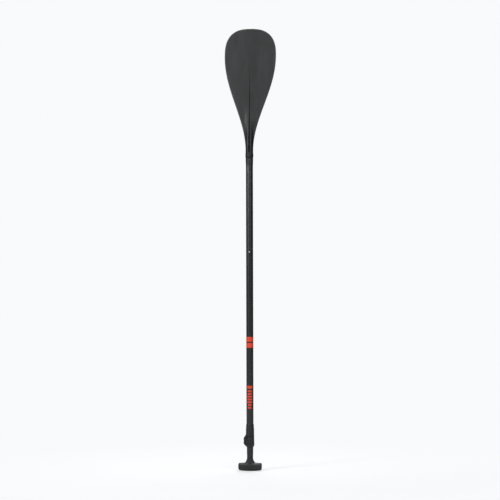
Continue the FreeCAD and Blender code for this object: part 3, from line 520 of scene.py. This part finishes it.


# ---------------------------------------------------------------- clamp bolt, barrel and nut
# Steel hardware: the bolt passes through both ears from the pivot barrel to a knurled thumb
# nut, which sets how hard the lever closes. The nut is stainless, the bolt and barrel blackened.
# Turned parts, brushed by the tool.
def turning_tree():
    """Spins an outline round Z: its corners are rounded, and its rim can be knurled."""
    tree = field_tree("turned_piece", ("Rounding", "Corner steps", "Sides", "Ridges", "Ridge depth"))
    given = tree_node(tree, "NodeGroupInput").outputs
    line = tree_node(tree, "GeometryNodeMeshToCurve", {"Mesh": given["Geometry"]}).outputs[0]
    eased = tree_node(tree, "GeometryNodeFilletCurve", {
        "Curve": line, "Count": given["Corner steps"], "Radius": given["Rounding"],
        "Limit Radius": True}, mode="POLY").outputs[0]
    circle = tree_node(tree, "GeometryNodeCurvePrimitiveCircle", {
        "Resolution": given["Sides"], "Radius": 1.0}).outputs[0]
    spun = tree_node(tree, "GeometryNodeCurveToMesh", {
        "Curve": circle, "Profile Curve": eased}).outputs[0]
    place = tree_node(tree, "GeometryNodeInputPosition").outputs[0]
    parts = tree_node(tree, "ShaderNodeSeparateXYZ", {0: place}).outputs
    turn = tree_node(tree, "ShaderNodeMath", {0: parts["Y"], 1: parts["X"]},
                     operation="ARCTAN2").outputs[0]
    waves = tree_node(tree, "ShaderNodeMath", {0: turn, 1: given["Ridges"]},
                      operation="MULTIPLY").outputs[0]
    crest = tree_node(tree, "ShaderNodeMath", {0: waves}, operation="COSINE").outputs[0]
    sink = tree_node(tree, "ShaderNodeMath", {0: crest, 1: 1.0}, operation="SUBTRACT").outputs[0]
    depth = tree_node(tree, "ShaderNodeMath", {0: sink, 1: given["Ridge depth"]},
                      operation="MULTIPLY").outputs[0]
    flat = tree_node(tree, "ShaderNodeCombineXYZ", {"X": parts["X"], "Y": parts["Y"]}).outputs[0]
    push = tree_node(tree, "ShaderNodeVectorMath", {0: flat, "Scale": depth},
                     operation="SCALE").outputs[0]
    knurled = tree_node(tree, "GeometryNodeSetPosition", {
        "Geometry": spun, "Offset": push}).outputs[0]
    merged = tree_node(tree, "GeometryNodeMergeByDistance", {
        "Geometry": knurled, "Distance": 2e-6}).outputs[0]
    real = tree_node(tree, "GeometryNodeRealizeInstances", {"Geometry": merged}).outputs[0]
    done = tree_node(tree, "GeometryNodeSetMaterial", {
        "Geometry": real, "Material": given["Material"]}).outputs[0]
    tree_node(tree, "NodeGroupOutput", {"Geometry": done})
    return tree


turning = turning_tree()


def tidy_faces(piece):
    """Drops faces with no area and turns the rest outwards."""
    body = bmesh.new()
    body.from_mesh(piece.data)
    bmesh.ops.dissolve_degenerate(body, dist=1e-7, edges=body.edges)
    bmesh.ops.recalc_face_normals(body, faces=body.faces)
    body.to_mesh(piece.data)
    body.free()
    return piece


def turned(name, outline, material, rounding=0.3 * MM, sides=96, ridges=0, ridge_depth=0.0):
    """A turned piece about Z from its (radius, height) corners, in metres."""
    mesh = bpy.data.meshes.new(name)
    mesh.from_pydata([(radius - 1, -height, 0) for radius, height in outline],
                     [(i, (i + 1) % len(outline)) for i in range(len(outline))], [])
    piece = bpy.data.objects.new(name, mesh)
    scene.collection.objects.link(piece)
    spin = piece.modifiers.new("turning", "NODES")
    spin.node_group = turning
    set_inputs(spin, turning, Rounding=rounding, Corner_steps=4, Sides=sides, Ridges=ridges,
               Ridge_depth=ridge_depth, Material=material)
    return tidy_faces(settle(piece))


def stand(piece, direction, x, y, z):
    """Lays a turned piece down along Y or leaves it on Z, at its place, in its mesh."""
    turn = Vector((0, 0, 1)).rotation_difference(Vector(direction)).to_matrix().to_4x4()
    piece.data.transform(turn)
    piece.data.transform(Matrix.Translation((x, y, z)))
    return piece


def brushed_steel():
    """Stainless steel with fine turning marks and a finger haze."""
    finish = Finish("brushed_stainless", (0.6, 0.6, 0.59), 0.3, Metallic=1.0)
    marks = finish.noise(2600, finish.stretched((1, 1, 0.15)), detail=4)
    haze = finish.noise(160, detail=5)
    finish.wear(finish.blend(finish.spread(haze, 0.35, 0.7), (0.5, 0.5, 0.49), (0.66, 0.66, 0.65)),
                finish.spread(marks, 0.3, 0.7, 0.22, 0.4), finish.bump(marks, 6e-6))
    return finish.material


def black_oxide():
    """Blackened steel: almost black, with turning marks and a little bare metal rubbed through."""
    finish = Finish("black_oxide_steel", (0.012, 0.012, 0.013), 0.45, Metallic=0.35)
    marks = finish.noise(2600, finish.stretched((1, 1, 0.15)), detail=4)
    rubbed = finish.spread(finish.noise(420, detail=6), 0.62, 0.78, 0.0, 0.5)
    finish.wear(finish.blend(rubbed, (0.012, 0.012, 0.013), (0.09, 0.088, 0.085)),
                finish.spread(marks, 0.3, 0.7, 0.38, 0.55), finish.bump(marks, 5e-6))
    return finish.material


steel = brushed_steel()
black_steel = black_oxide()
bolt_low, bolt_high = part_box("clamp_bolt")
nut_low, nut_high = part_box("clamp_nut")
bolt_radius = (bolt_high.x - bolt_low.x) / 2
bolt_length = bolt_high.y - bolt_low.y
barrel_y = (barrel_low.y + barrel_high.y) / 2
barrel_radius = (barrel_high.x - barrel_low.x) / 2
barrel_half = (barrel_high.z - barrel_low.z) / 2
nut_height, nut_radius = nut_high.y - nut_low.y, (nut_high.x - nut_low.x) / 2
thread_pitch, thread_depth, thread_length = 0.8 * MM, 0.35 * MM, 9 * MM
thread = []
for k in range(int(thread_length / thread_pitch)):
    foot = bolt_length - thread_length + thread_pitch * k
    thread += [(bolt_radius, foot), (bolt_radius - thread_depth, foot + thread_pitch / 2)]
bolt = turned("cap_bolt", [(0, 0), (bolt_radius - 0.5 * MM, 0), (bolt_radius, 0.5 * MM), *thread,
                           (bolt_radius - 0.6 * MM, bolt_length), (0, bolt_length)],
              black_steel, rounding=0.05 * MM)
fit(stand(bolt, (0, 1, 0), bolt_x, bolt_low.y, bolt_z), black_steel, "shaft", "steel",
    "clamp_bolt")
barrel = turned("pivot_barrel", [(0, -barrel_half), (barrel_radius, -barrel_half),
                                 (barrel_radius, barrel_half), (0, barrel_half)],
                black_steel, rounding=0.6 * MM)
fit(stand(barrel, (0, 0, 1), bolt_x, barrel_y, bolt_z), black_steel, "shaft", "steel",
    "lever_barrel")
hole = bolt_radius + 0.05 * MM
nut = turned("thumb_nut", [
    (hole, 0), (nut_radius - 1.2 * MM, 0), (nut_radius - 1.2 * MM, 0.6 * MM), (nut_radius, MM),
    (nut_radius, nut_height - 1.2 * MM), (nut_radius - 0.9 * MM, nut_height),
    (nut_radius - 1.7 * MM, nut_height), (nut_radius - 2 * MM, nut_height - 0.4 * MM),
    (hole, nut_height - 0.4 * MM)], steel, rounding=0.15 * MM, sides=240, ridges=30,
    ridge_depth=0.035)
fit(stand(nut, (0, 1, 0), bolt_x, nut_low.y, bolt_z), steel, "shaft", "steel", "clamp_nut")


# ---------------------------------------------------------------- middle and upper tubes
# Both outer tubes are one standard round aluminium tube, painted satin black. The moulded ferrule
# glued in the middle tube carries the upper one, with a thin ring between their ends.
def satin_paint():
    """Satin black paint: faint orange peel, long draw lines under it and a few rub marks."""
    black = (0.006, 0.0062, 0.0066)
    finish = Finish("satin_black_paint", black, 0.36, IOR=1.5, Coat_Weight=0.25, Coat_Roughness=0.3)
    peel = finish.noise(420, detail=2)
    lines = finish.noise(260, finish.stretched((1, 1, 0.012)), detail=3)
    rubs = finish.noise(90, finish.stretched((1, 1, 0.08)), detail=7, uneven=0.7)
    cloud = finish.noise(9, detail=4)
    tone = finish.blend(finish.spread(cloud, 0.35, 0.7), black, (0.009, 0.0092, 0.0096))
    tone = finish.blend(finish.spread(rubs, 0.66, 0.8, 0.0, 0.5), tone, (0.03, 0.03, 0.031))
    rough = finish.sum("ADD", finish.spread(lines, 0.3, 0.7, 0.3, 0.4),
                       finish.spread(rubs, 0.6, 0.8, 0.0, 0.12))
    finish.wear(tone, rough, finish.bump(lines, 1.2e-5, under=finish.bump(peel, 3e-5)))
    return finish.material


dress(satin_paint(), "shaft_tube", "blade_tube")
ring_plastic = moulded("ring_plastic", (0.008, 0.008, 0.0085), 0.6, 1500, 1.5e-5)
dress(ring_plastic, "joint_ring")

# ---------------------------------------------------------------- lock button and its spring
# A stainless button on a bent spring strip inside the ferrule: it stands out through both tube
# walls, and pressing it in lets the upper half of the paddle come off.
button_low, button_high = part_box("lock_button")
button_radius, button_flange = 3.5 * MM, 4.6 * MM
button_length = button_high.y - button_low.y
button_z = (button_low.z + button_high.z) / 2
button = turned("snap_button", [
    (0, 0), (button_flange, 0), (button_flange, MM), (button_radius, MM),
    (button_radius, button_length - 1.6 * MM), (button_radius * 0.72, button_length - 0.35 * MM),
    (button_radius * 0.3, button_length - 0.05 * MM), (0, button_length)],
    steel, rounding=0.5 * MM)
stand(button, (0, -1, 0), 0, button_high.y, button_z)
fit(button, steel, "button", "steel", "lock_button")
spring = crisp(copy_of("button_spring", "spring_clip"), 30)
spring.data.materials.append(steel)
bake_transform(spring)
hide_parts("button_spring")


# ---------------------------------------------------------------- printed bands and bars
# Two orange bands and a block of orange bars, screen printed on the middle tube as a thin
# satin film. The bars are plain, with no lettering.
def orange_print():
    """Screen ink: a little grain, pinholes and rubbed patches that let the black through."""
    orange, pale, black = (0.56, 0.038, 0.010), (0.62, 0.052, 0.016), (0.02, 0.018, 0.018)
    finish = Finish("orange_print", orange, 0.42, IOR=1.48)
    ink = finish.noise(900, detail=3)
    patches = finish.noise(70, detail=5)
    pinholes = finish.spread(finish.cells(800), 0.0, 0.09, 0.5, 0.0)
    rubbed = finish.sum("MULTIPLY", pinholes, finish.spread(patches, 0.5, 0.65))
    tone = finish.blend(finish.spread(ink, 0.35, 0.7), orange, pale)
    finish.wear(finish.blend(rubbed, tone, black), finish.spread(patches, 0.3, 0.7, 0.34, 0.48),
                finish.bump(ink, 8e-6))
    return finish.material


def print_tree():
    """Rows of short bars of uneven length under a solid block, wrapped round a tube."""
    tree = field_tree("printed_bars", ("Rows", "Columns", "Row pitch", "Bar height", "Arc width",
                                       "Foot", "Block foot", "Block height", "Radius", "Film",
                                       "Missing", "Seed"))
    given = tree_node(tree, "NodeGroupInput").outputs

    def maths(operation, *values):
        return tree_node(tree, "ShaderNodeMath", dict(enumerate(values)),
                         operation=operation).outputs[0]

    def box(wide, tall, across):
        size = tree_node(tree, "ShaderNodeCombineXYZ", {
            "X": wide, "Y": tall, "Z": given["Film"]}).outputs[0]
        return tree_node(tree, "GeometryNodeMeshCube", {
            "Size": size, "Vertices X": across}).outputs[0]

    column_width = maths("DIVIDE", given["Arc width"], given["Columns"])
    bar = box(maths("MULTIPLY", column_width, 0.96), given["Bar height"], 24)
    span = maths("SUBTRACT", given["Arc width"], column_width)
    rise = maths("MULTIPLY", given["Row pitch"], maths("SUBTRACT", given["Rows"], 1.0))
    spots = tree_node(tree, "GeometryNodeMeshGrid", {
        "Size X": span, "Size Y": rise, "Vertices X": given["Columns"],
        "Vertices Y": given["Rows"]}).outputs[0]
    lift = tree_node(tree, "ShaderNodeCombineXYZ", {
        "Y": maths("MULTIPLY_ADD", rise, 0.5, given["Foot"])}).outputs[0]
    spots = tree_node(tree, "GeometryNodeTransform", {
        "Geometry": spots, "Translation": lift}).outputs[0]
    chance = tree_node(tree, "FunctionNodeRandomValue", {"Seed": given["Seed"]}).outputs[1]
    gone = tree_node(tree, "FunctionNodeCompare", {0: chance, 1: given["Missing"]},
                     operation="LESS_THAN").outputs[0]
    spots = tree_node(tree, "GeometryNodeDeleteGeometry", {
        "Geometry": spots, "Selection": gone}).outputs[0]
    stretch = tree_node(tree, "FunctionNodeRandomValue", {
        "Min": (0.5, 0.8, 1.0), "Max": (1.0, 1.0, 1.0), "Seed": given["Seed"]},
        data_type="FLOAT_VECTOR").outputs[0]
    bars = tree_node(tree, "GeometryNodeInstanceOnPoints", {
        "Points": spots, "Instance": bar, "Scale": stretch}).outputs[0]
    block = box(given["Arc width"], given["Block height"], 24)
    block_lift = tree_node(tree, "ShaderNodeCombineXYZ", {
        "Y": maths("MULTIPLY_ADD", given["Block height"], 0.5, given["Block foot"])}).outputs[0]
    block = tree_node(tree, "GeometryNodeTransform", {
        "Geometry": block, "Translation": block_lift}).outputs[0]
    both = tree_node(tree, "GeometryNodeJoinGeometry").inputs[0]
    tree.links.new(block, both)
    tree.links.new(bars, both)
    real = tree_node(tree, "GeometryNodeRealizeInstances", {
        "Geometry": both.node.outputs[0]}).outputs[0]
    place = tree_node(tree, "GeometryNodeInputPosition").outputs[0]
    flat = tree_node(tree, "ShaderNodeSeparateXYZ", {0: place}).outputs
    turn = maths("DIVIDE", flat["X"], given["Radius"])
    out = maths("ADD", given["Radius"], flat["Z"])
    wrapped = tree_node(tree, "ShaderNodeCombineXYZ", {
        "X": maths("MULTIPLY", out, maths("SINE", turn)),
        "Y": maths("MULTIPLY", maths("MULTIPLY", out, maths("COSINE", turn)), -1.0),
        "Z": flat["Y"]}).outputs[0]
    bent = tree_node(tree, "GeometryNodeSetPosition", {
        "Geometry": real, "Position": wrapped}).outputs[0]
    done = tree_node(tree, "GeometryNodeSetMaterial", {
        "Geometry": bent, "Material": given["Material"]}).outputs[0]
    tree_node(tree, "NodeGroupOutput", {"Geometry": done})
    return tree


orange = orange_print()
dress(orange, "band_lower", "band_upper")
print_low, print_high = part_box("decal_panel")
film_out = -print_low.y
film = film_out - tube_radius
half_arc = math.asin(min(1.0, print_high.x / film_out))
block_height = 12 * MM
row_count, row_gap = 7, 2 * MM
bars_height = print_high.z - print_low.z - block_height - row_gap
row_pitch = bars_height / row_count
bar_height = row_pitch - 3.4 * MM
bars = grown("printed_bars", print_tree(), Rows=row_count, Columns=1, Row_pitch=row_pitch,
             Bar_height=bar_height, Arc_width=2 * half_arc * film_out,
             Foot=print_low.z + bar_height / 2, Block_foot=print_high.z - block_height,
             Block_height=block_height, Radius=tube_radius + film / 2, Film=film * 0.96,
             Missing=0.0, Seed=7, Material=orange)
fit(crisp(tidy_faces(bars), 40), orange, "shaft", "orange_print", "decal_panel")

# ---------------------------------------------------------------- neck collar
# A tapered ring between the upper tube and the blade's own ring. It covers the glue joint and
# wears the clamp's black nylon finish.
trim_low, trim_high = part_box("neck_collar")
trim_out, trim_bore = trim_high.x, 13.1 * MM
trim = turned("neck_ring", [
    (trim_bore, trim_low.z), (tube_radius, trim_low.z), (tube_radius + 0.35 * MM, trim_low.z + MM),
    (trim_out, trim_high.z - 2 * MM), (trim_out - 0.6 * MM, trim_high.z), (trim_bore, trim_high.z)],
    clamp_nylon, rounding=0.5 * MM, sides=160)
fit(trim, clamp_nylon, "shaft", "moulded_black", "neck_collar")

# ---------------------------------------------------------------- blade
# One moulding of short-glass-fibre nylon, satin, with streaks where the fibres flowed. A round
# neck and ring turn into a thin plate. The power face has a crease down its middle.
blade_low, blade_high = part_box("blade")
tip, ring_foot, plug_foot = blade_high.z, trim_high.z, blade_low.z
half_blade, neck_radius = 105 * MM, 15.4 * MM
to_widest, tip_power, taper_power = 112 * MM, 2.6, 0.93
neck_length, ring_height = 35 * MM, 21 * MM
blade_length = tip - ring_foot
neck_foot = ring_foot + ring_height
rim_thick, middle_thick, rim_reach = 2.4 * MM, 6 * MM, 6 * MM
rake, rake_bend, dihedral = math.tan(math.radians(8)), 140 * MM, 5 * MM


def smooth_step(value, low, high):
    share = np.clip((value - low) / (high - low), 0, 1)
    return share * share * (3 - 2 * share)


def half_width(below_tip):
    """Half of the blade's width: a squarish rounded tip, then a long cosine taper."""
    near = np.clip(1 - below_tip / to_widest, 0, 1)
    rounded = half_blade * (1 - near ** tip_power) ** (1 / tip_power)
    share = np.clip((below_tip - to_widest) / (blade_length - neck_length - to_widest), 0, 1)
    fall = (1 + np.cos(np.pi * share)) / 2
    taper = neck_radius + (half_blade - neck_radius) * fall ** taper_power
    return np.where(below_tip < to_widest, rounded, taper)


def middle_surface(x, z):
    """How far back the blade's middle lies: raked, with its rims swept back a little."""
    up = np.maximum(z - neck_foot, 0)
    lean = np.where(up < rake_bend, rake * up * up / (2 * rake_bend), rake * (up - rake_bend / 2))
    return lean + dihedral * (x / half_blade) ** 2 * smooth_step(z, neck_foot, neck_foot + 60 * MM)


def half_thickness(x, z, from_rim, front):
    """Plate, spine and crease together, on one side of the middle surface."""
    bulge = np.exp(-(x / (0.45 * half_blade)) ** 2)
    plate = (rim_thick + (middle_thick - rim_thick) * bulge) / 2
    inward = np.clip(from_rim / rim_reach, 0, 1)
    plate = plate * np.sqrt(1 - (1 - inward) ** 2.2) * smooth_step(z, neck_foot, neck_foot + 40 * MM)
    fade_end = neck_foot + (235 if front else 355) * MM
    keep = (1 - smooth_step(z, neck_foot, fade_end)) ** 1.25
    height = middle_thick / 2 + (neck_radius - middle_thick / 2) * keep
    wide = neck_radius + 7 * MM * smooth_step(z, neck_foot + 35 * MM, neck_foot + 190 * MM)
    power = 0.5 + 1.1 * smooth_step(z, neck_foot + 10 * MM, neck_foot + 150 * MM)
    dome = np.clip(1 - (x / wide) ** 2, 0, 1) ** power
    level = (middle_thick / 2) * smooth_step(z, neck_foot, neck_foot + 40 * MM)
    whole = plate + np.maximum(height - level, 0) * dome
    if front:
        start = neck_foot + 2 * MM
        round_end = np.sqrt(1 - (1 - np.clip((z - start) / (5 * MM), 0, 1)) ** 2)
        wide = (1.7 + 1.7 * (1 - smooth_step(z, start + 40 * MM, start + 180 * MM))) * MM
        wide = np.maximum(wide * round_end, 1e-6)
        deep = (1.9 + 4.2 * (1 - smooth_step(z, start + 30 * MM, start + 170 * MM))) * MM
        deep = deep * smooth_step(z, start, start + 4 * MM)
        deep = deep * (1 - smooth_step(z, start + 250 * MM, start + 400 * MM))
        crease = np.where(np.abs(x) < wide, (0.5 + 0.5 * np.cos(np.pi * x / wide)) ** 0.7, 0)
        whole = whole - deep * crease
    return whole


columns, body_rows, tip_rows = 66, 170, 64
share = (np.arange(columns + 1) / columns) ** 1.45
share = np.sin(share * math.pi / 2)
share[-1] = 1
plug, ring = plug_foot / MM, ring_foot / MM
ring_profile = [(0, plug + 75), (9, plug + 66), (9, plug), (12, plug), (12.7, plug + 0.3),
                (13.05, plug + 1), (13.05, ring), (14.2, ring), (14.25, ring + 1.7),
                (15.3, ring + 1.9), (15.8, ring + 2.3), (16, ring + 3.1), (16, ring + 19.4),
                (15.95, ring + 20.1), (15.75, ring + 20.7), (15.48, ring + 20.95)]
low_r, low_z = np.array(ring_profile, float).T * MM
climb = (np.arange(body_rows + 1) / body_rows) ** 1.5
body_z = neck_foot + (tip - to_widest - neck_foot) * climb
body_x = half_width(tip - body_z)
fan = np.linspace(0, math.pi / 2, tip_rows + 1)[1:]
fan_x = half_blade * np.cos(fan).clip(0) ** (2 / tip_power)
fan_z = tip - to_widest + to_widest * np.sin(fan) ** (2 / tip_power)
rim_x = np.concatenate([body_x, fan_x])
rim_z = np.concatenate([body_z, fan_z])
rim_x[-1] = 0
root_z = np.minimum(rim_z, tip - to_widest)
plate_x = rim_x[:, None] * share
plate_z = root_z[:, None] + (rim_z - root_z)[:, None] * share
side_z = np.linspace(neck_foot - 5 * MM, tip - to_widest, 700)
round_tip = np.linspace(0, math.pi / 2, 500)
tip_x = half_blade * np.cos(round_tip).clip(0) ** (2 / tip_power)
tip_z = tip - to_widest + to_widest * np.sin(round_tip) ** (2 / tip_power)
outline_x = np.concatenate([half_width(tip - side_z), tip_x])
outline_z = np.concatenate([side_z, tip_z])


def gap_to_rim(x, z):
    """Distance of each point of the blade from its rim, seen square on."""
    nearest = np.full(x.shape, 1.0)
    for rim_point_x, rim_point_z in zip(outline_x, outline_z):
        nearest = np.minimum(nearest, (np.abs(x) - rim_point_x) ** 2 + (z - rim_point_z) ** 2)
    return np.sqrt(nearest)


from_rim = gap_to_rim(plate_x, plate_z)
from_rim[:, -1] = 0
sheets = []
for front in (True, False):
    half = half_thickness(plate_x, plate_z, from_rim, front)
    half[:, -1] = 0
    depth = middle_surface(plate_x, plate_z) + (-half if front else half)
    low = low_r[:, None] * share
    round_y = np.sqrt(np.maximum(low_r[:, None] ** 2 - low ** 2, 0)) * (-1 if front else 1)
    x = np.concatenate([low, plate_x])
    y = np.concatenate([round_y, depth])
    z = np.concatenate([np.repeat(low_z[:, None], columns + 1, 1), plate_z])
    for mirror in (1, -1):
        sheets.append(np.stack([x * mirror, y, z], -1))
points, faces = [], []
for sheet in sheets:
    count, wide = sheet.shape[:2]
    index = np.arange(count * wide).reshape(count, wide) + sum(len(p) for p in points)
    quads = np.stack([index[:-1, :-1], index[1:, :-1], index[1:, 1:], index[:-1, 1:]], -1)
    faces.append(quads.reshape(-1, 4))
    points.append(sheet.reshape(-1, 3))
blade = new_piece("blade_moulding", np.concatenate(points), np.concatenate(faces))
rim_mark = blade.data.attributes.new("rim", "FLOAT", "POINT")
place = np.zeros(len(blade.data.vertices) * 3)
blade.data.vertices.foreach_get("co", place)
place = place.reshape(-1, 3)
near_rim = 1 - np.clip(gap_to_rim(place[:, 0], place[:, 2]) / (5 * MM), 0, 1)
rim_mark.data.foreach_set("value", near_rim.astype(np.float32))
# Painted shade: this mark says where the groove down the power face is painted almost black, as the
# shade inside it.
crease_shade_mark = blade.data.attributes.new("crease", "FLOAT", "POINT")
crease_shade = np.exp(-(place[:, 0] / (1.5 * MM)) ** 2)
crease_shade *= place[:, 1] < middle_surface(place[:, 0], place[:, 2])
crease_shade *= smooth_step(place[:, 2], neck_foot, neck_foot + 5 * MM)
crease_shade *= 1 - smooth_step(place[:, 2], neck_foot + 200 * MM, neck_foot + 400 * MM)
crease_shade_mark.data.foreach_set("value", crease_shade.astype(np.float32))


def fibre_nylon():
    """Short-fibre nylon: slanting flow streaks, a fine fibre grain, a scuffed rim and painted shade
    in the crease.
    """
    dark, light = (0.0012, 0.0014, 0.0019), (0.0115, 0.0121, 0.0136)
    finish = Finish("fibre_nylon", dark, 0.46, IOR=1.42)
    slant = (0, math.radians(32), 0)
    streaks = finish.noise(26, finish.stretched((1, 1, 0.22), turn=slant), detail=5, swirl=0.9)
    strands = finish.noise(520, finish.stretched((1, 1, 0.06), turn=slant), detail=3)
    cloud = finish.noise(11, detail=4, swirl=0.4)
    grain = finish.noise(1500, detail=2)
    rim = finish.add("Attribute", attribute_name="rim").outputs["Fac"]
    scuff = finish.sum("MULTIPLY", finish.spread(rim, 0.55, 1.0),
                       finish.spread(finish.noise(240, detail=6), 0.5, 0.66))
    tone = finish.blend(finish.spread(streaks, 0.34, 0.68), dark, light)
    tone = finish.blend(finish.spread(cloud, 0.4, 0.7, 0.0, 0.4), tone, dark)
    tone = finish.blend(finish.spread(strands, 0.6, 0.78, 0.0, 0.35), tone, (0.024, 0.024, 0.025))
    tone = finish.blend(finish.sum("MULTIPLY", scuff, 0.35), tone, (0.05, 0.05, 0.051))
    # Painted shade: the crease's groove is painted almost black and made rough, so that it reads as
    # shade with no highlight.
    crease = finish.add("Attribute", attribute_name="crease").outputs["Fac"]
    tone = finish.blend(finish.sum("MULTIPLY", crease, 0.9), tone, (0.001, 0.001, 0.001))
    rough = finish.sum("ADD", finish.spread(streaks, 0.3, 0.7, 0.56, 0.42),
                       finish.sum("MULTIPLY", scuff, 0.15))
    rough = finish.sum("ADD", rough, finish.sum("MULTIPLY", crease, 0.45))
    fine = finish.bump(grain, 3e-5)
    finish.wear(tone, rough, finish.bump(strands, 6e-5, under=fine))
    return finish.material


fit(blade, fibre_nylon(), "shaft", "blade_plastic", "blade")

# ---------------------------------------------------------------- studio
# A plain pale floor that runs out into white, a tall soft light at the upper left, a wide one
# overhead and a weak one at the right, with two behind that keep the back readable. The camera
# is level with the paddle's middle.
floor_mesh = bpy.data.meshes.new("floor")
floor_reach, air = 60, (0.94, 0.955, 0.97, 1)
floor_corners = [(-1, -1), (1, -1), (1, 1), (-1, 1)]
floor_mesh.from_pydata([(x * floor_reach, y * floor_reach, 0) for x, y in floor_corners], [],
                       [(0, 1, 2, 3)])
floor = bpy.data.objects.new("floor", floor_mesh)
scene.collection.objects.link(floor)
paper = Finish("white_paper", (0.6, 0.605, 0.61), 0.9, Specular_IOR_Level=0.0)
seen = paper.add("LightPath").outputs["Is Camera Ray"]
away = paper.add("VectorMath", {0: paper.place}, operation="LENGTH").outputs["Value"]
glow_share = paper.spread(away, 0.1, 1.2, 0.3, 1.0)
level = paper.spread(paper.add("SeparateXYZ", {"Vector": paper.place}).outputs["Y"],
                     -0.6, 0.6, 0.93, 0.77)
lit = paper.sum("MULTIPLY", paper.sum("SUBTRACT", 1.0, glow_share), level)
strength = paper.sum("DIVIDE", paper.sum("SUBTRACT", 1.0, lit), glow_share)
glow = paper.add("Emission", {"Color": air, "Strength": strength}).outputs[0]
mixed = paper.add("MixShader", {0: paper.sum("MULTIPLY", seen, glow_share),
                                1: paper.shader.outputs[0], 2: glow}).outputs[0]
paper.links.new(mixed, paper.nodes["Material Output"].inputs["Surface"])
floor_mesh.materials.append(paper.material)

world = bpy.data.worlds.new("white_room")
scene.world = world
world.use_nodes = True
room = world.node_tree
dim = room.nodes["Background"]
dim.inputs["Color"].default_value = (0.95, 0.97, 1.0, 1)
dim.inputs["Strength"].default_value = 0.09
bright = room.nodes.new("ShaderNodeBackground")
bright.inputs["Color"].default_value = air
path = room.nodes.new("ShaderNodeLightPath")
either = room.nodes.new("ShaderNodeMixShader")
room.links.new(path.outputs["Is Camera Ray"], either.inputs[0])
room.links.new(dim.outputs[0], either.inputs[1])
room.links.new(bright.outputs[0], either.inputs[2])
room.links.new(either.outputs[0], room.nodes["World Output"].inputs["Surface"])


def soft_light(name, place, target, wide, tall, power):
    lamp = bpy.data.lights.new(name, "AREA")
    lamp.shape = "RECTANGLE"
    lamp.size, lamp.size_y, lamp.energy = wide, tall, power
    holder = bpy.data.objects.new(name, lamp)
    scene.collection.objects.link(holder)
    holder.location = place
    aim = (Vector(target) - Vector(place)).to_track_quat("-Z", "Y")
    holder.rotation_euler = aim.to_euler()
    return holder


soft_light("tall_left", (-2.1, -2.3, 2.25), (0, 0, 1.3), 0.8, 1.9, 82)
soft_light("wide_top", (0.1, -1.4, 4.2), (0, 0, 0.9), 3.0, 2.0, 78)
soft_light("weak_right", (1.5, -3.0, 2.4), (0, 0, 1.4), 1.7, 1.6, 48)
soft_light("high_back", (0.1, 1.3, 4.2), (0, 0, 0.3), 1.6, 1.2, 105)
back_fill = soft_light("back_fill", (-0.3, 3.6, 1.9), (0, 0, 1.0), 1.6, 2.0, 30)
back_fill.visible_camera = False

view_turn, distance, aim_height = math.radians(5.3), 8.0, 0.8960
roll, aside = math.radians(0.13), 1.6 * MM
camera = bpy.data.cameras.new("camera")
camera.lens = 142.0
stand_point = bpy.data.objects.new("camera", camera)
scene.collection.objects.link(stand_point)
stand_point.location = (distance * math.sin(view_turn) + aside,
                        -distance * math.cos(view_turn), aim_height)
stand_point.rotation_euler = (math.pi / 2, roll, view_turn)
scene.camera = stand_point
scene.view_settings.view_transform = "Standard"
